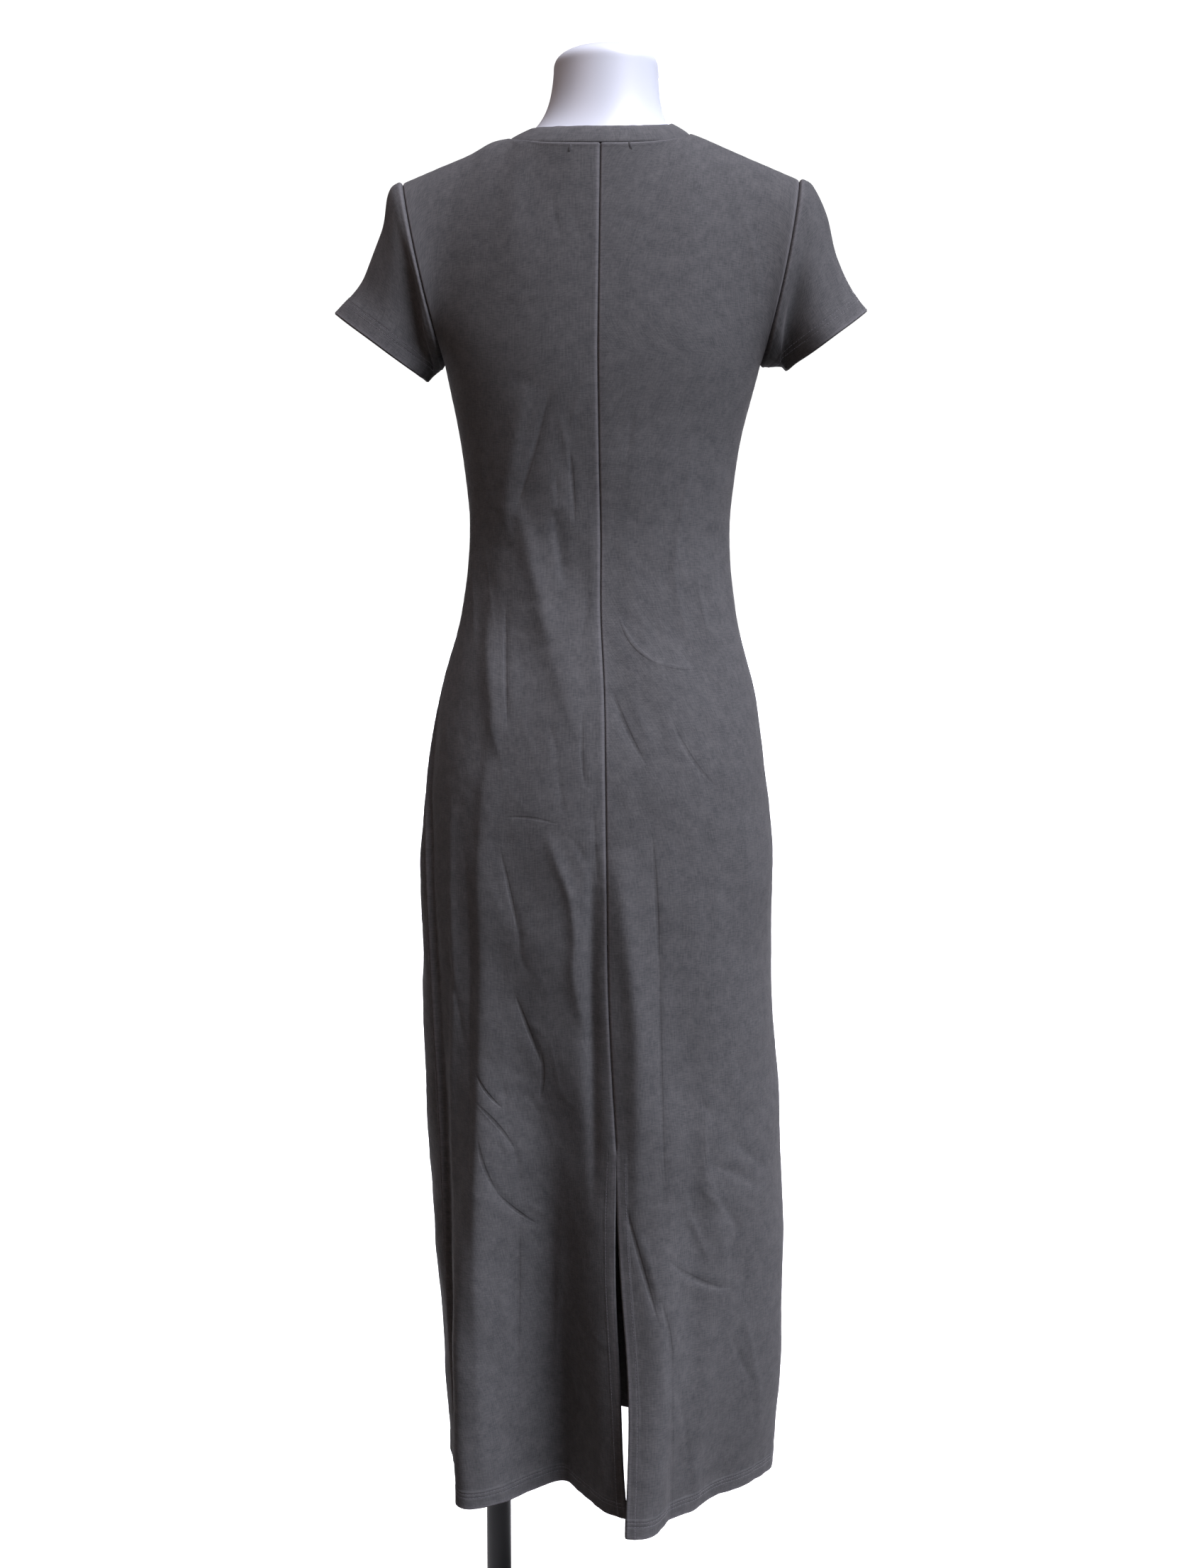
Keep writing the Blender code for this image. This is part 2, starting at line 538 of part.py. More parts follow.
def make_form():
    """Torso rings, two yokes joined at the shoulders, arm caps and the neck, in one closed mesh."""
    shares = SHARES
    first = (FORM_Z - HEM_Z) / (UNDERARM_Z - HEM_Z)
    low = 9
    levels = np.concatenate([np.linspace(first, 1, low), YOKE_LEVELS])
    grids = {(face, side): form_quarter(face, side, shares, levels)
             for face in ("back", "front") for side in (1, -1)}
    for (face, side), grid in grids.items():
        clear_of_band(grid, face, side)
    # the two sides of a centre line, of a side seam and of a shoulder share their points
    for face in ("back", "front"):
        middle = (grids[face, 1][:, 0] + grids[face, -1][:, 0]) / 2
        grids[face, 1][:, 0] = grids[face, -1][:, 0] = middle
    neck_col = round(NECK_SHARE * QUARTER)
    for side in (1, -1):
        back, front = grids["back", side], grids["front", side]
        middle = (back[:low, -1] + front[:low, -1]) / 2
        back[:low, -1] = front[:low, -1] = middle
        middle = (back[-1, neck_col:] + front[-1, neck_col:]) / 2
        back[-1, neck_col:] = front[-1, neck_col:] = middle

    work = bmesh.new()
    known = {}

    def vert(point):
        key = tuple(np.round(point, 6))
        if key not in known:
            known[key] = work.verts.new(point)
        return known[key]

    def face_of(points):
        corners = []
        for point in points:
            corner = vert(point)
            if corner not in corners:
                corners.append(corner)
        if len(corners) > 2:
            work.faces.new(corners)

    def skin(grid):
        for i in range(grid.shape[0] - 1):
            for j in range(grid.shape[1] - 1):
                face_of([grid[i, j], grid[i, j + 1], grid[i + 1, j + 1]])
                face_of([grid[i, j], grid[i + 1, j + 1], grid[i + 1, j]])

    for grid in grids.values():
        skin(grid)
    # arm caps: the armhole's ring shrinks to its centre while it swells outwards
    for side in (1, -1):
        back, front = grids["back", side], grids["front", side]
        ring = np.concatenate([back[low - 1:, -1], front[-2:low - 1:-1, -1]])
        ring = np.concatenate([ring, ring[:1]])
        centre = ring[:-1].mean(axis=0)
        steps = np.array([0.0, 0.3, 0.6, 0.85])[:, None, None]
        out = np.array([side * ARM_CAP_BULGE, 0.0, 0.0])
        cap = ring + (centre - ring) * steps + out * np.sqrt(1 - (1 - steps) ** 2)
        skin(cap)
        for j in range(len(ring) - 1):
            face_of([cap[-1, j], cap[-1, j + 1], centre + out])
    # neck: under the band, then up the neck's own rings to the flat top
    under_band, band_normal = band_grid(np.array([0.5, 1.0]))
    under_band = under_band - band_normal * (BAND_WALL + BAND_CLEARANCE)
    count = under_band.shape[1]
    turn = np.arange(count) * 2 * pi / count
    z, half_x, half_y, y = (NECK_RINGS[:, i][:, None] for i in range(4))
    rings = np.stack([NECK_MIDDLE + half_x * np.sin(turn), y + half_y * np.cos(turn), z + 0 * turn], -1)
    rows = np.concatenate([under_band, rings])
    seam = ring_of_quarters([grids[key][-1, :neck_col + 1]
                             for key in (("back", 1), ("front", 1), ("front", -1), ("back", -1))])
    rows = np.concatenate([seam[None], rows])
    rows = np.concatenate([rows, rows[:, :1]], axis=1)
    skin(rows)
    top = np.array([NECK_MIDDLE, NECK_RINGS[-1, 3], NECK_TOP])
    for j in range(rows.shape[1] - 1):
        face_of([rows[-1, j], rows[-1, j + 1], top])
    bottom = ring_of_quarters([grids[key][0]
                               for key in (("back", 1), ("front", 1), ("front", -1), ("back", -1))])
    face_of(bottom)
    bmesh.ops.recalc_face_normals(work, faces=work.faces)
    mesh = bpy.data.meshes.new("form_torso")
    work.to_mesh(mesh)
    work.free()
    mesh.shade_smooth()
    mesh.set_sharp_from_angle(angle=radians(50))
    mesh.materials.append(material("form_torso_finish", *WHITE_FORM))
    bpy.context.scene.collection.objects.link(bpy.data.objects.new("form_torso", mesh))


def make_stand():
    """Plate, socket, upright and the flange that the form is screwed to."""
    edge = 0.0015
    disc("stand_base", [(BASE_RADIUS - edge, 0.0), (BASE_RADIUS, edge), (BASE_RADIUS, BASE_HEIGHT - edge),
                        (BASE_RADIUS - edge, BASE_HEIGHT)], (0, 0, 0), BLACK_STAND)
    foot = BASE_HEIGHT + FIT
    ring("stand_socket", [(POLE_RADIUS + FIT, 0), (SOCKET_RADIUS + 0.006, 0),
                          (SOCKET_RADIUS + 0.006, 0.004), (SOCKET_RADIUS, 0.010),
                          (SOCKET_RADIUS, SOCKET_HEIGHT - 0.003),
                          (SOCKET_RADIUS - 0.003, SOCKET_HEIGHT),
                          (POLE_RADIUS + FIT, SOCKET_HEIGHT)], (POLE_X, 0, foot), BLACK_STAND)
    head = FORM_Z - FIT
    disc("stand_pole", [(POLE_RADIUS, foot), (POLE_RADIUS, head)], (POLE_X, 0, 0), BLACK_STAND)
    ring("stand_flange", [(POLE_RADIUS + FIT, -FLANGE_HEIGHT), (FLANGE_RADIUS - 0.002, -FLANGE_HEIGHT),
                          (FLANGE_RADIUS, 0.002 - FLANGE_HEIGHT), (FLANGE_RADIUS, 0),
                          (POLE_RADIUS + FIT, 0)], (POLE_X, 0, head), BLACK_STAND)


def main():
    for thing in list(bpy.data.objects):
        bpy.data.objects.remove(thing, do_unlink=True)
    make_back(1, "back_left")
    make_back(-1, "back_right")
    make_front()
    make_sleeve(1, "sleeve_left")
    make_sleeve(-1, "sleeve_right")
    make_neckband()
    make_form()
    make_stand()


main()
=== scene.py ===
# %% [markdown]
# # A T-shirt maxi dress on a dress form
#
# We sew a long jersey dress in Blender as its maker would: a front, two backs joined down the
# middle with a vent at the hem, two short sleeves and a neckband, each one its own piece.
# Every panel is a surface worked out with numpy: one function says where the cloth is for a place
# across the panel and a place up it. Cloth simulation could drape it too, but the fall of this
# dress is mostly its cut, and a worked-out surface keeps every seam where the cut puts it.

from math import pi, radians

import bmesh
import bpy
import numpy as np
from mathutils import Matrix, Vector


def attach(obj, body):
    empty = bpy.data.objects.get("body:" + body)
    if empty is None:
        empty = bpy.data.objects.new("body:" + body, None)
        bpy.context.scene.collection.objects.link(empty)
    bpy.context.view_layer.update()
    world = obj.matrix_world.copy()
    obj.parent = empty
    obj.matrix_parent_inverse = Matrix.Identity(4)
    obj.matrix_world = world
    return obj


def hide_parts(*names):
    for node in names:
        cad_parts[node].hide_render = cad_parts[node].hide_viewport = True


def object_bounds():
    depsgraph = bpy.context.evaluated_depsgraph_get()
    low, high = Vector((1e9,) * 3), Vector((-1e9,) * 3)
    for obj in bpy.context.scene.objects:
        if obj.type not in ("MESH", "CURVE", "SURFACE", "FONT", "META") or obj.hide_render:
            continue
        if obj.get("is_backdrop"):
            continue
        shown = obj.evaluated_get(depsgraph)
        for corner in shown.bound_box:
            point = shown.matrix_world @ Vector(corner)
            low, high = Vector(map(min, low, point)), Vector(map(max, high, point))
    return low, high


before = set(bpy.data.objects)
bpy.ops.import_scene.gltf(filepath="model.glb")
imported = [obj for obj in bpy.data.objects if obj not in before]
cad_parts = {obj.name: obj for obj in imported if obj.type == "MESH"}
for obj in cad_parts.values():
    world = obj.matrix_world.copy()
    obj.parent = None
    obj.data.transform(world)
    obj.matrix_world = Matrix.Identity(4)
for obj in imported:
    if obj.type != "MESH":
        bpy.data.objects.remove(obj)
cad_box = [[float(v) for v in corner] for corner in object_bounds()]
print("pieces in the frame:", ", ".join(sorted(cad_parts)))
print("box of the frame, m:", [[round(v, 3) for v in corner] for corner in cad_box])

# %% [markdown]
# ## The dress's sizes
#
# A tailor's block is a short table of girths, depths and heights. Ours has one row for each height
# of the body, and a smooth curve runs through the rows. Everything is in metres; the wearer's left
# is +X, the back of the dress is towards +Y.

# %% Body block, hem to chest
CLOTH = 0.0015  # thickness of the jersey
BAND_CLOTH = 0.0018  # the neckband is folded double and pressed
SEAM_GAP = 0.0003
HEM_Z, VENT_Z, UNDERARM_Z = 0.238, 0.600, 1.347

# height, half width, middle in X, reach behind, reach in front, turn of the centre-back seam and
# of the two side seams round the body in degrees, fullness of the outline behind and in front,
# and how far inside the cloth the dress form lies
SECTION_COLUMNS = ("z", "half", "shift", "back", "front", "turn_back", "turn_left",
                   "turn_right", "full_back", "full_front", "inset")
SECTIONS = np.array([
    [0.238, 0.1645, -0.0078, 0.128, 0.120, -7.5, -17.0, -12.0, 2.10, 2.10, 0.030],
    [0.360, 0.1700, -0.0080, 0.127, 0.118, -5.6, -16.5, -11.0, 2.10, 2.10, 0.030],
    [0.480, 0.1745, -0.0040, 0.126, 0.116, -3.4, -21.0, -10.0, 2.10, 2.10, 0.030],
    [0.600, 0.1763, 0.0018, 0.126, 0.115, -2.9, -25.0, -9.0, 2.10, 2.10, 0.028],
    [0.740, 0.174, 0.009, 0.127, 0.114, -2.6, -24.0, -8.0, 2.15, 2.15, 0.022],
    [0.880, 0.1735, 0.010, 0.129, 0.115, -2.2, -19.0, -6.0, 2.15, 2.15, 0.007],
    [0.960, 0.166, 0.010, 0.124, 0.114, -2.0, -10.0, -4.0, 2.15, 2.15, 0.006],
    [1.040, 0.152, 0.009, 0.108, 0.109, -1.5, -4.0, -2.0, 2.15, 2.15, 0.009],
    [1.110, 0.134, 0.008, 0.090, 0.102, -0.3, -2.0, -1.0, 2.15, 2.15, 0.012],
    [1.180, 0.1265, 0.007, 0.083, 0.100, 0.0, -1.0, 0.0, 2.15, 2.15, 0.012],
    [1.260, 0.133, 0.007, 0.087, 0.112, 0.5, 0.0, 0.0, 2.15, 2.10, 0.007],
    [1.347, 0.152, 0.0045, 0.093, 0.123, 1.5, 0.0, 0.0, 2.20, 2.10, 0.004],
    [1.430, 0.166, 0.0045, 0.094, 0.120, 1.5, 0.0, 0.0, 2.20, 2.10, 0.003],
])

# each vent flap: how far its hem corner stands out, how much the hem flattens, how far its edge
# stands off the seam line on the way down and at the hem, and how far the edge curls outwards
FLAPS = {1: (-0.018, 0.00, 0.0085, 0.0125, 0.011), -1: (0.031, 0.88, -0.0030, 0.0125, 0.000)}

# the big soft folds of the skirt: face, place at the fold's top and at the hem as a share of the
# way from the centre line to a side seam, top and full heights, width in shares, depth outwards
FOLDS = [
    ("back", 0.28, 0.34, 0.86, 0.26, 0.22, -0.062),
    ("back", 0.60, 0.71, 0.80, 0.28, 0.15, 0.036),
    ("back", 1.00, 0.98, 0.60, 0.28, 0.13, -0.005),
    ("back", -0.14, -0.11, 0.80, 0.30, 0.08, 0.008),
    ("back", -0.26, -0.23, 0.90, 0.34, 0.06, -0.005),
    ("back", -0.46, -0.38, 0.66, 0.30, 0.13, -0.008),
    ("back", -0.70, -0.66, 0.60, 0.28, 0.12, 0.005),
    ("front", 0.66, 0.58, 0.78, 0.30, 0.17, 0.014),
    ("front", 0.30, 0.24, 0.84, 0.34, 0.15, -0.016),
    ("front", -0.02, -0.06, 0.74, 0.32, 0.16, 0.012),
    ("front", -0.38, -0.40, 0.88, 0.30, 0.14, -0.015),
    ("front", -0.74, -0.70, 0.70, 0.34, 0.16, 0.012),
]
print("skirt", len(SECTIONS), "heights,", len(FOLDS), "folds")

# %% Neckline, shoulders, sleeves and neckband
NECK_SHARE = 6 / 14  # share of a quarter's top edge that is neckline
NECK_SHIFT, NECK_Y, NECK_HALF = 0.0075, 0.010, 0.0854
NECK_REACH = {"back": 0.065, "front": 0.093}
NECK_Z = {"back": 1.537, "front": 1.470}
NECK_SIDE_Z = {1: 1.5555, -1: 1.5600}
NECK_FALL = {"back": 1.0, "front": 2.3}  # above 1 the edge stays high at first, then drops
NECK_LEAN = {"back": 2.0, "front": 1.5}  # how the cloth curves in towards the neckline
NECK_CORNER = {"back": 2, "front": 5}  # how near the shoulder seam its roundness begins
TIP = {1: (0.1955, 1.5170), -1: (-0.1830, 1.5200)}  # shoulder tips, X and Z
TIP_Y = 0.0
SHOULDER_RISE = {1: 0.003, -1: 0.0}
SHOULDER_FULL = 2.4
ARMHOLE_REACH = {"back": 0.047, "front": 0.044}
ARMHOLE_CUT = {"back": -0.002, "front": 0.010}
SLEEVE_TOP = {1: (0.2625, 1.3975), -1: (-0.2505, 1.4005)}
SLEEVE_UNDER = {1: (0.1745, 1.3330), -1: (-0.1740, 1.3440)}
SLEEVE_HALF_DEPTH, SLEEVE_Y = 0.040, -0.004
SLEEVE_TILT = np.array([-0.10, 1.0, -0.15])
SLEEVE_HEAD, SLEEVE_FALL = 0.055, 0.120
SLEEVE_FLARE = np.array([0.74, 0.0, -0.67])
SLEEVE_GAP_MORE = 1.2
BAND_SHIFT, BAND_Y, BAND_HALF = 0.0055, 0.004, 0.0665
BAND_REACH = {"back": 0.0585, "front": 0.080}
BAND_Z = {"back": 1.5545, "front": 1.4880}
BAND_SIDE_Z = {1: 1.5675, -1: 1.5720}
BAND_BOW = 0.0012
print("shoulder tip to shoulder tip, m:", round(TIP[1][0] - TIP[-1][0], 3))

# %% [markdown]
# ## From the block to a surface
#
# A superellipse is an ellipse whose powers are a little above 2, so its sides are squarer: a good
# outline for cloth round a body. Stacked superellipses make the skirt and bodice, and above the
# underarm each column rises along a quarter of a superellipse to the neckline or shoulder seam.

# %% Curves
def smooth(at, knots, values):
    """Cubic through (knots, values); the slope at a knot comes from its neighbours."""
    at = np.asarray(at, float)
    slope = np.gradient(values, knots)
    i = np.clip(np.searchsorted(knots, at) - 1, 0, len(knots) - 2)
    step = knots[i + 1] - knots[i]
    u = np.clip((at - knots[i]) / step, 0.0, 1.0)
    return ((1 + 2 * u) * (1 - u) ** 2 * values[i] + u * (1 - u) ** 2 * step * slope[i]
            + u * u * (3 - 2 * u) * values[i + 1] - u * u * (1 - u) * step * slope[i + 1])


def section(name, z):
    """One column of the body block at height z."""
    return smooth(z, SECTIONS[:, 0], SECTIONS[:, SECTION_COLUMNS.index(name)])


def ease(u):
    """3u^2 - 2u^3: from 0 to 1 with a level start and end."""
    u = np.clip(u, 0.0, 1.0)
    return u * u * (3 - 2 * u)


def bell(u):
    """exp(-u^2): 1 at the middle, next to nothing two widths away."""
    return np.exp(-u * u)


def power(base, exponent):
    """Signed power, so that an outline's four quarters are alike."""
    return np.sign(base) * np.abs(base) ** exponent


def unit(vectors):
    return vectors / np.maximum(np.linalg.norm(vectors, axis=-1, keepdims=True), 1e-12)


# %% Skirt and bodice
def fold_depth(face, at, z):
    """Sum of bells depth * exp(-((at - centre) / width)^2) that grow from z_top down to z_full."""
    reach = np.zeros(np.broadcast(at, z).shape)
    for of_face, at_top, at_hem, z_top, z_full, width, depth in FOLDS:
        if of_face == face:
            centre = at_top + (at_hem - at_top) * (z_top - z) / (z_top - HEM_Z)
            grown = ease((z_top - z) / (z_top - z_full))
            reach = reach + depth * grown * bell((at - centre) / width)
    return reach


def skirt(face, side, share, z, folded=True):
    """Superellipse at each height: x = half sin^(2/n) a, y = deep cos^(2/n) a, then folds outwards.

    share is 0 at the centre line and 1 at the side seam; side is 1 for left and -1 for right.
    """
    share, z = np.broadcast_arrays(np.asarray(share, float), np.asarray(z, float))
    kick, flatten, opening, opening_at_hem, curl = FLAPS[side]
    parted = (VENT_Z - z) / (VENT_Z - HEM_Z)
    loose = ease(parted) * np.clip(parted, 0, 1)
    turn_side = np.radians(section("turn_left" if side > 0 else "turn_right", z))
    seam = pi / 2 * side + turn_side
    if face == "back":
        edge = opening_at_hem * loose + opening * np.sin(pi * np.clip(parted, 0, 1)) ** 0.8
        centre = np.radians(section("turn_back", z)) + side * edge / section("half", z)
    else:
        centre = pi * side + np.radians(section("turn_left", z) + section("turn_right", z)) / 2
    angle = centre + (seam - centre) * share
    back = section("back", z) + kick * loose
    full_back = section("full_back", z) - flatten * loose
    s, c = np.sin(angle), np.cos(angle)
    deep = np.where(c >= 0, back, section("front", z))
    half = section("half", z)
    bend = 2 / np.where(c >= 0, full_back, section("full_front", z))
    x, y = half * power(s, bend), deep * power(c, bend)
    nx, ny = power(s, 2 - bend) / half, power(c, 2 - bend) / deep
    length = np.hypot(nx, ny)
    out = fold_depth(face, share * side, z) if folded else 0.0
    if face == "back":
        out = out + curl * loose * bell(share / 0.13)
        if folded:  # at the side seam the back meets the front's edge
            step = fold_depth("front", side, z) - fold_depth("back", side, z)
            out = out + step * bell((1 - share) / 0.07)
    return np.stack([section("shift", z) + x + out * nx / length, y + out * ny / length, z], -1)


def oval(face, side, turn, shift, middle, half, reach, z_centre, z_side):
    """A neck opening's edge: x = half sin t, y = reach cos t, and z falls with cos^k t."""
    sign = 1 if face == "back" else -1
    fall = np.cos(turn)
    return np.stack([shift + side * half * np.sin(turn), middle + sign * reach * fall,
                     z_side + (z_centre - z_side) * np.abs(fall) ** NECK_FALL[face]], -1)


def neckline(face, side, turn):
    """The seam between the panels and the neckband."""
    return oval(face, side, turn, NECK_SHIFT, NECK_Y, NECK_HALF, NECK_REACH[face],
                NECK_Z[face], NECK_SIDE_Z[side])


def top_edge(face, side, share):
    """Neckline up to NECK_SHARE, then the shoulder seam out to its tip."""
    neck = neckline(face, side, pi / 2 * np.clip(share / NECK_SHARE, 0, 1))
    along = np.clip((share - NECK_SHARE) / (1 - NECK_SHARE), 0, 1)[..., None]
    tip_x, tip_z = TIP[side]
    seam = neck + along * (np.array([tip_x, TIP_Y, tip_z]) - neck)
    seam[..., 2] += SHOULDER_RISE[side] * bell((along[..., 0] - 0.16) / 0.13) * ease(
        along[..., 0] / 0.1)
    return seam


def yoke(face, side, share, climb):
    """From the chest (climb 0) to the top edge (climb 1) along a quarter of a superellipse."""
    share, climb = np.broadcast_arrays(np.asarray(share, float), np.asarray(climb, float))
    sign = 1 if face == "back" else -1
    rise = np.sin(pi / 2 * climb) ** (2 / SHOULDER_FULL)
    round_in = np.cos(pi / 2 * np.clip(climb, 0, 1)) ** (2 / SHOULDER_FULL)
    lean_in = 1 - rise ** NECK_LEAN[face]
    shoulder = ease(share / NECK_SHARE) ** NECK_CORNER[face]
    keep = lean_in + (round_in - lean_in) * shoulder
    low = skirt(face, side, share, UNDERARM_Z, folded=False)
    top = top_edge(face, side, share)
    near_edge = share ** 4
    scoop = 4 * rise * (1 - rise)
    x = low[..., 0] + (top[..., 0] - low[..., 0]) * rise
    x = x - side * near_edge * ARMHOLE_CUT[face] * scoop
    y = top[..., 1] + (low[..., 1] - top[..., 1]) * keep
    y = y + sign * near_edge * ARMHOLE_REACH[face] * np.sqrt(scoop) * (1.12 - 0.24 * rise)
    z = UNDERARM_Z + (top[..., 2] - UNDERARM_Z) * rise
    return np.stack([x, y, z], -1)


def quarter(face, side, share, level, folded=True):
    """A quarter of the dress: level 0 to 1 is hem to underarm, 1 to 2 underarm to top edge."""
    share, level = np.broadcast_arrays(np.asarray(share, float), np.asarray(level, float))
    below = skirt(face, side, share, HEM_Z + (UNDERARM_Z - HEM_Z) * np.clip(level, 0, 1), folded)
    above = yoke(face, side, share, np.clip(level - 1, 0, 1))
    return np.where((level > 1)[..., None], above, below)


# %% Sleeves and neckband
def armhole(side, turn):
    """The armhole: turn 0 at the shoulder tip, 180 degrees at the underarm, back half first."""
    climb = np.abs(1 - turn / pi)
    loops = {face: yoke(face, side, np.ones_like(turn), climb) for face in ("back", "front")}
    return np.where((turn <= pi)[..., None], loops["back"], loops["front"])


def sleeve(side, turn, along, gap=SEAM_GAP):
    """A cubic from armhole to hem that leaves and arrives in set directions."""
    turn, along = np.broadcast_arrays(turn % (2 * pi), along)
    (top_x, top_z), (under_x, under_z) = SLEEVE_TOP[side], SLEEVE_UNDER[side]
    middle = np.array([(top_x + under_x) / 2, SLEEVE_Y, (top_z + under_z) / 2])
    up = np.array([top_x - under_x, 0.0, top_z - under_z]) / 2
    apart = gap * (1 + SLEEVE_GAP_MORE * (1 - np.cos(turn)) / 2)
    start = armhole(side, turn) + apart[..., None] * [side, 0.0, 0.0]
    end = (middle + up * np.cos(turn)[..., None]
           + unit(SLEEVE_TILT * [side, 1, 1]) * SLEEVE_HALF_DEPTH * np.sin(turn)[..., None])
    fall = SLEEVE_FLARE * [side, 1, 1]
    upper = (1 + np.cos(turn)[..., None]) / 2
    leave = unit(np.array([side * 1.0, 0.0, -0.75]) + upper * np.array([0.0, 0.0, 0.95]))
    chord = np.linalg.norm(end - start, axis=-1, keepdims=True)
    reach = np.minimum(chord * 0.9, SLEEVE_HEAD)
    arrive = np.minimum(chord * 1.1, SLEEVE_FALL)
    u = along[..., None]
    return ((1 + 2 * u) * (1 - u) ** 2 * start + u * (1 - u) ** 2 * reach * leave
            + u * u * (3 - 2 * u) * end - u * u * (1 - u) * arrive * fall)


def neckband(turn, up):
    """Straight from the neckline to the band's top edge, bowed out by 4 u (1 - u)."""
    turn = turn % (2 * pi)
    from_back = np.where(turn <= pi, turn, 2 * pi - turn)
    low, high = np.zeros(turn.shape + (3,)), np.zeros(turn.shape + (3,))
    for side in (1, -1):
        for face in ("back", "front"):
            q = from_back if face == "back" else pi - from_back
            here = (((turn <= pi) == (side > 0)) & (q <= pi / 2 + 1e-9))[..., None]
            q = np.clip(q, 0, pi / 2)
            low = np.where(here, neckline(face, side, q), low)
            edge = oval(face, side, q, BAND_SHIFT, BAND_Y, BAND_HALF, BAND_REACH[face],
                        BAND_Z[face], BAND_SIDE_Z[side])
            high = np.where(here, edge, high)
    out = unit((low - [NECK_SHIFT, NECK_Y, 0.0]) * [1.0, 1.0, 0.0])
    return low + (high - low) * up[..., None] + out * (BAND_BOW * 4 * up * (1 - up))[..., None]


print("centre-back length, m:", round(float(NECK_Z["back"] - HEM_Z), 3))

# %% [markdown]
# ## Where the mesh lines go
#
# A seam or a row of stitches is under a millimetre wide, while the cloth between them needs only
# a line every few millimetres. So the grid's lines crowd together at the seams and the hem, and
# spread out in between.

# %% Grid stations
SEAM_LINES = np.array([0, 0.3, 0.7, 1.2, 1.9, 2.9, 4.2, 6.0]) / 1000
CENTRE_LINES = np.array([0, 0.3, 0.7, 1.2, 1.9, 2.9, 4.2, 6.0, 7.3, 7.75, 8.0, 8.2, 8.4, 8.65, 9.1,
                         9.9, 11.5]) / 1000
HEM_LINES = np.array([
    0, 0.4, 0.9, 1.6, 2.6, 4.0, 6.0, 8.2, 9.7, 10.4, 10.75, 11.0, 11.25, 11.6, 12.3, 13.7, 14.4,
    14.75, 15.0, 15.25, 15.6, 16.3, 17.2, 17.8, 18.4, 19.2, 21.5]) / 1000


def stations(length, step, start, end=SEAM_LINES):
    """Places from 0 to 1 along a length: close lines at both ends and even steps between."""
    low, high = start[-1], length - end[-1]
    middle = np.linspace(low, high, max(2, round((high - low) / step) + 1))[1:-1]
    return np.concatenate([start, middle, (length - end)[::-1]]) / length


ACROSS = stations(0.250, 0.0018, CENTRE_LINES)  # a back panel is about 250 mm wide
UP_SKIRT = stations(UNDERARM_Z - HEM_Z, 0.0030, HEM_LINES, np.array([0.0, 3.0]) / 1000)
UP_YOKE = stations(0.200, 0.0030, np.array([0.0, 3.0]) / 1000)[1:]


def arc_lengths(points, axis):
    """Running length along a grid's rows (axis 1) or columns (axis 0), from its first line."""
    steps = np.linalg.norm(np.diff(points, axis=axis), axis=-1)
    first = np.zeros_like(np.take(steps, [0], axis=axis))
    return np.cumsum(np.concatenate([first, steps], axis=axis), axis=axis)


def levels_up(face, side, shares, below, above):
    """Levels of the grid's rows: below is given, and above holds shares of each column's length.

    On the yoke the same step of climb is a different length in each column, so each column's
    running length is measured on a fine grid and turned round with np.interp.
    """
    fine = 2 - np.linspace(1, 0, 500) ** 1.6
    run = arc_lengths(quarter(face, side, np.abs(shares), fine[:, None]), 0)
    yoke_rows = [np.interp(above, column / column[-1], fine) for column in run.T]
    return np.concatenate([np.repeat(below[:, None], len(shares), 1), np.stack(yoke_rows, 1)])


print("a back panel has", len(ACROSS), "x", len(UP_SKIRT) + len(UP_YOKE), "grid lines")


def grid_normals(points, sign, tube=False):
    """Unit normals: the cross product of the two directions of the grid at each point."""
    if tube:
        across = np.roll(points, -1, axis=1) - np.roll(points, 1, axis=1)
    else:
        across = np.gradient(points, axis=1)
    return sign * unit(np.cross(across, np.gradient(points, axis=0)))


# %% [markdown]
# ## Which way is out, at a seam
#
# Two panels that meet at a seam face different ways. If each were tucked in along its own normal,
# the seam would gape. So both edges use one shared direction, the mean of the two normals, and
# it fades into the panel's own normal a few millimetres away.

# %% Seam directions
def surface_normals(surface, u, v, u_range, v_range, u_step=0.01, v_step=0.02):
    """Cross product of small steps of surface(u, v) that stay inside its range."""
    u0, u1 = np.clip(u - u_step, *u_range), np.clip(u + u_step, *u_range)
    v0, v1 = np.clip(v - v_step, *v_range), np.clip(v + v_step, *v_range)
    return unit(np.cross(surface(u1, v) - surface(u0, v), surface(u, v1) - surface(u, v0)))


def quarter_normals(face, side, share, level):
    share, level = np.broadcast_arrays(np.asarray(share, float), np.asarray(level, float))
    outward = -1 if (face == "back") == (side > 0) else 1
    return outward * surface_normals(
        lambda u, v: quarter(face, side, u, v), share, level, (0, 1), (0, 2))


def sleeve_normals(side, turn, along):
    return -side * surface_normals(
        lambda u, v: sleeve(side, u, v), turn, along, (-9, 9), (0, 1), 0.02, 0.04)


def band_normals(turn, up):
    return -surface_normals(neckband, turn, up, (-9, 9), (0, 1), 0.02, 0.2)


def armhole_out(side, turn):
    """Mean of the panel's and the sleeve's normals round the armhole."""
    level = 1 + np.abs(1 - turn / pi)
    back, front = (quarter_normals(face, side, 1.0, level) for face in ("back", "front"))
    panels = np.where((turn <= pi)[..., None], back, front)
    return unit(panels + sleeve_normals(side, turn, 0.0 * turn))


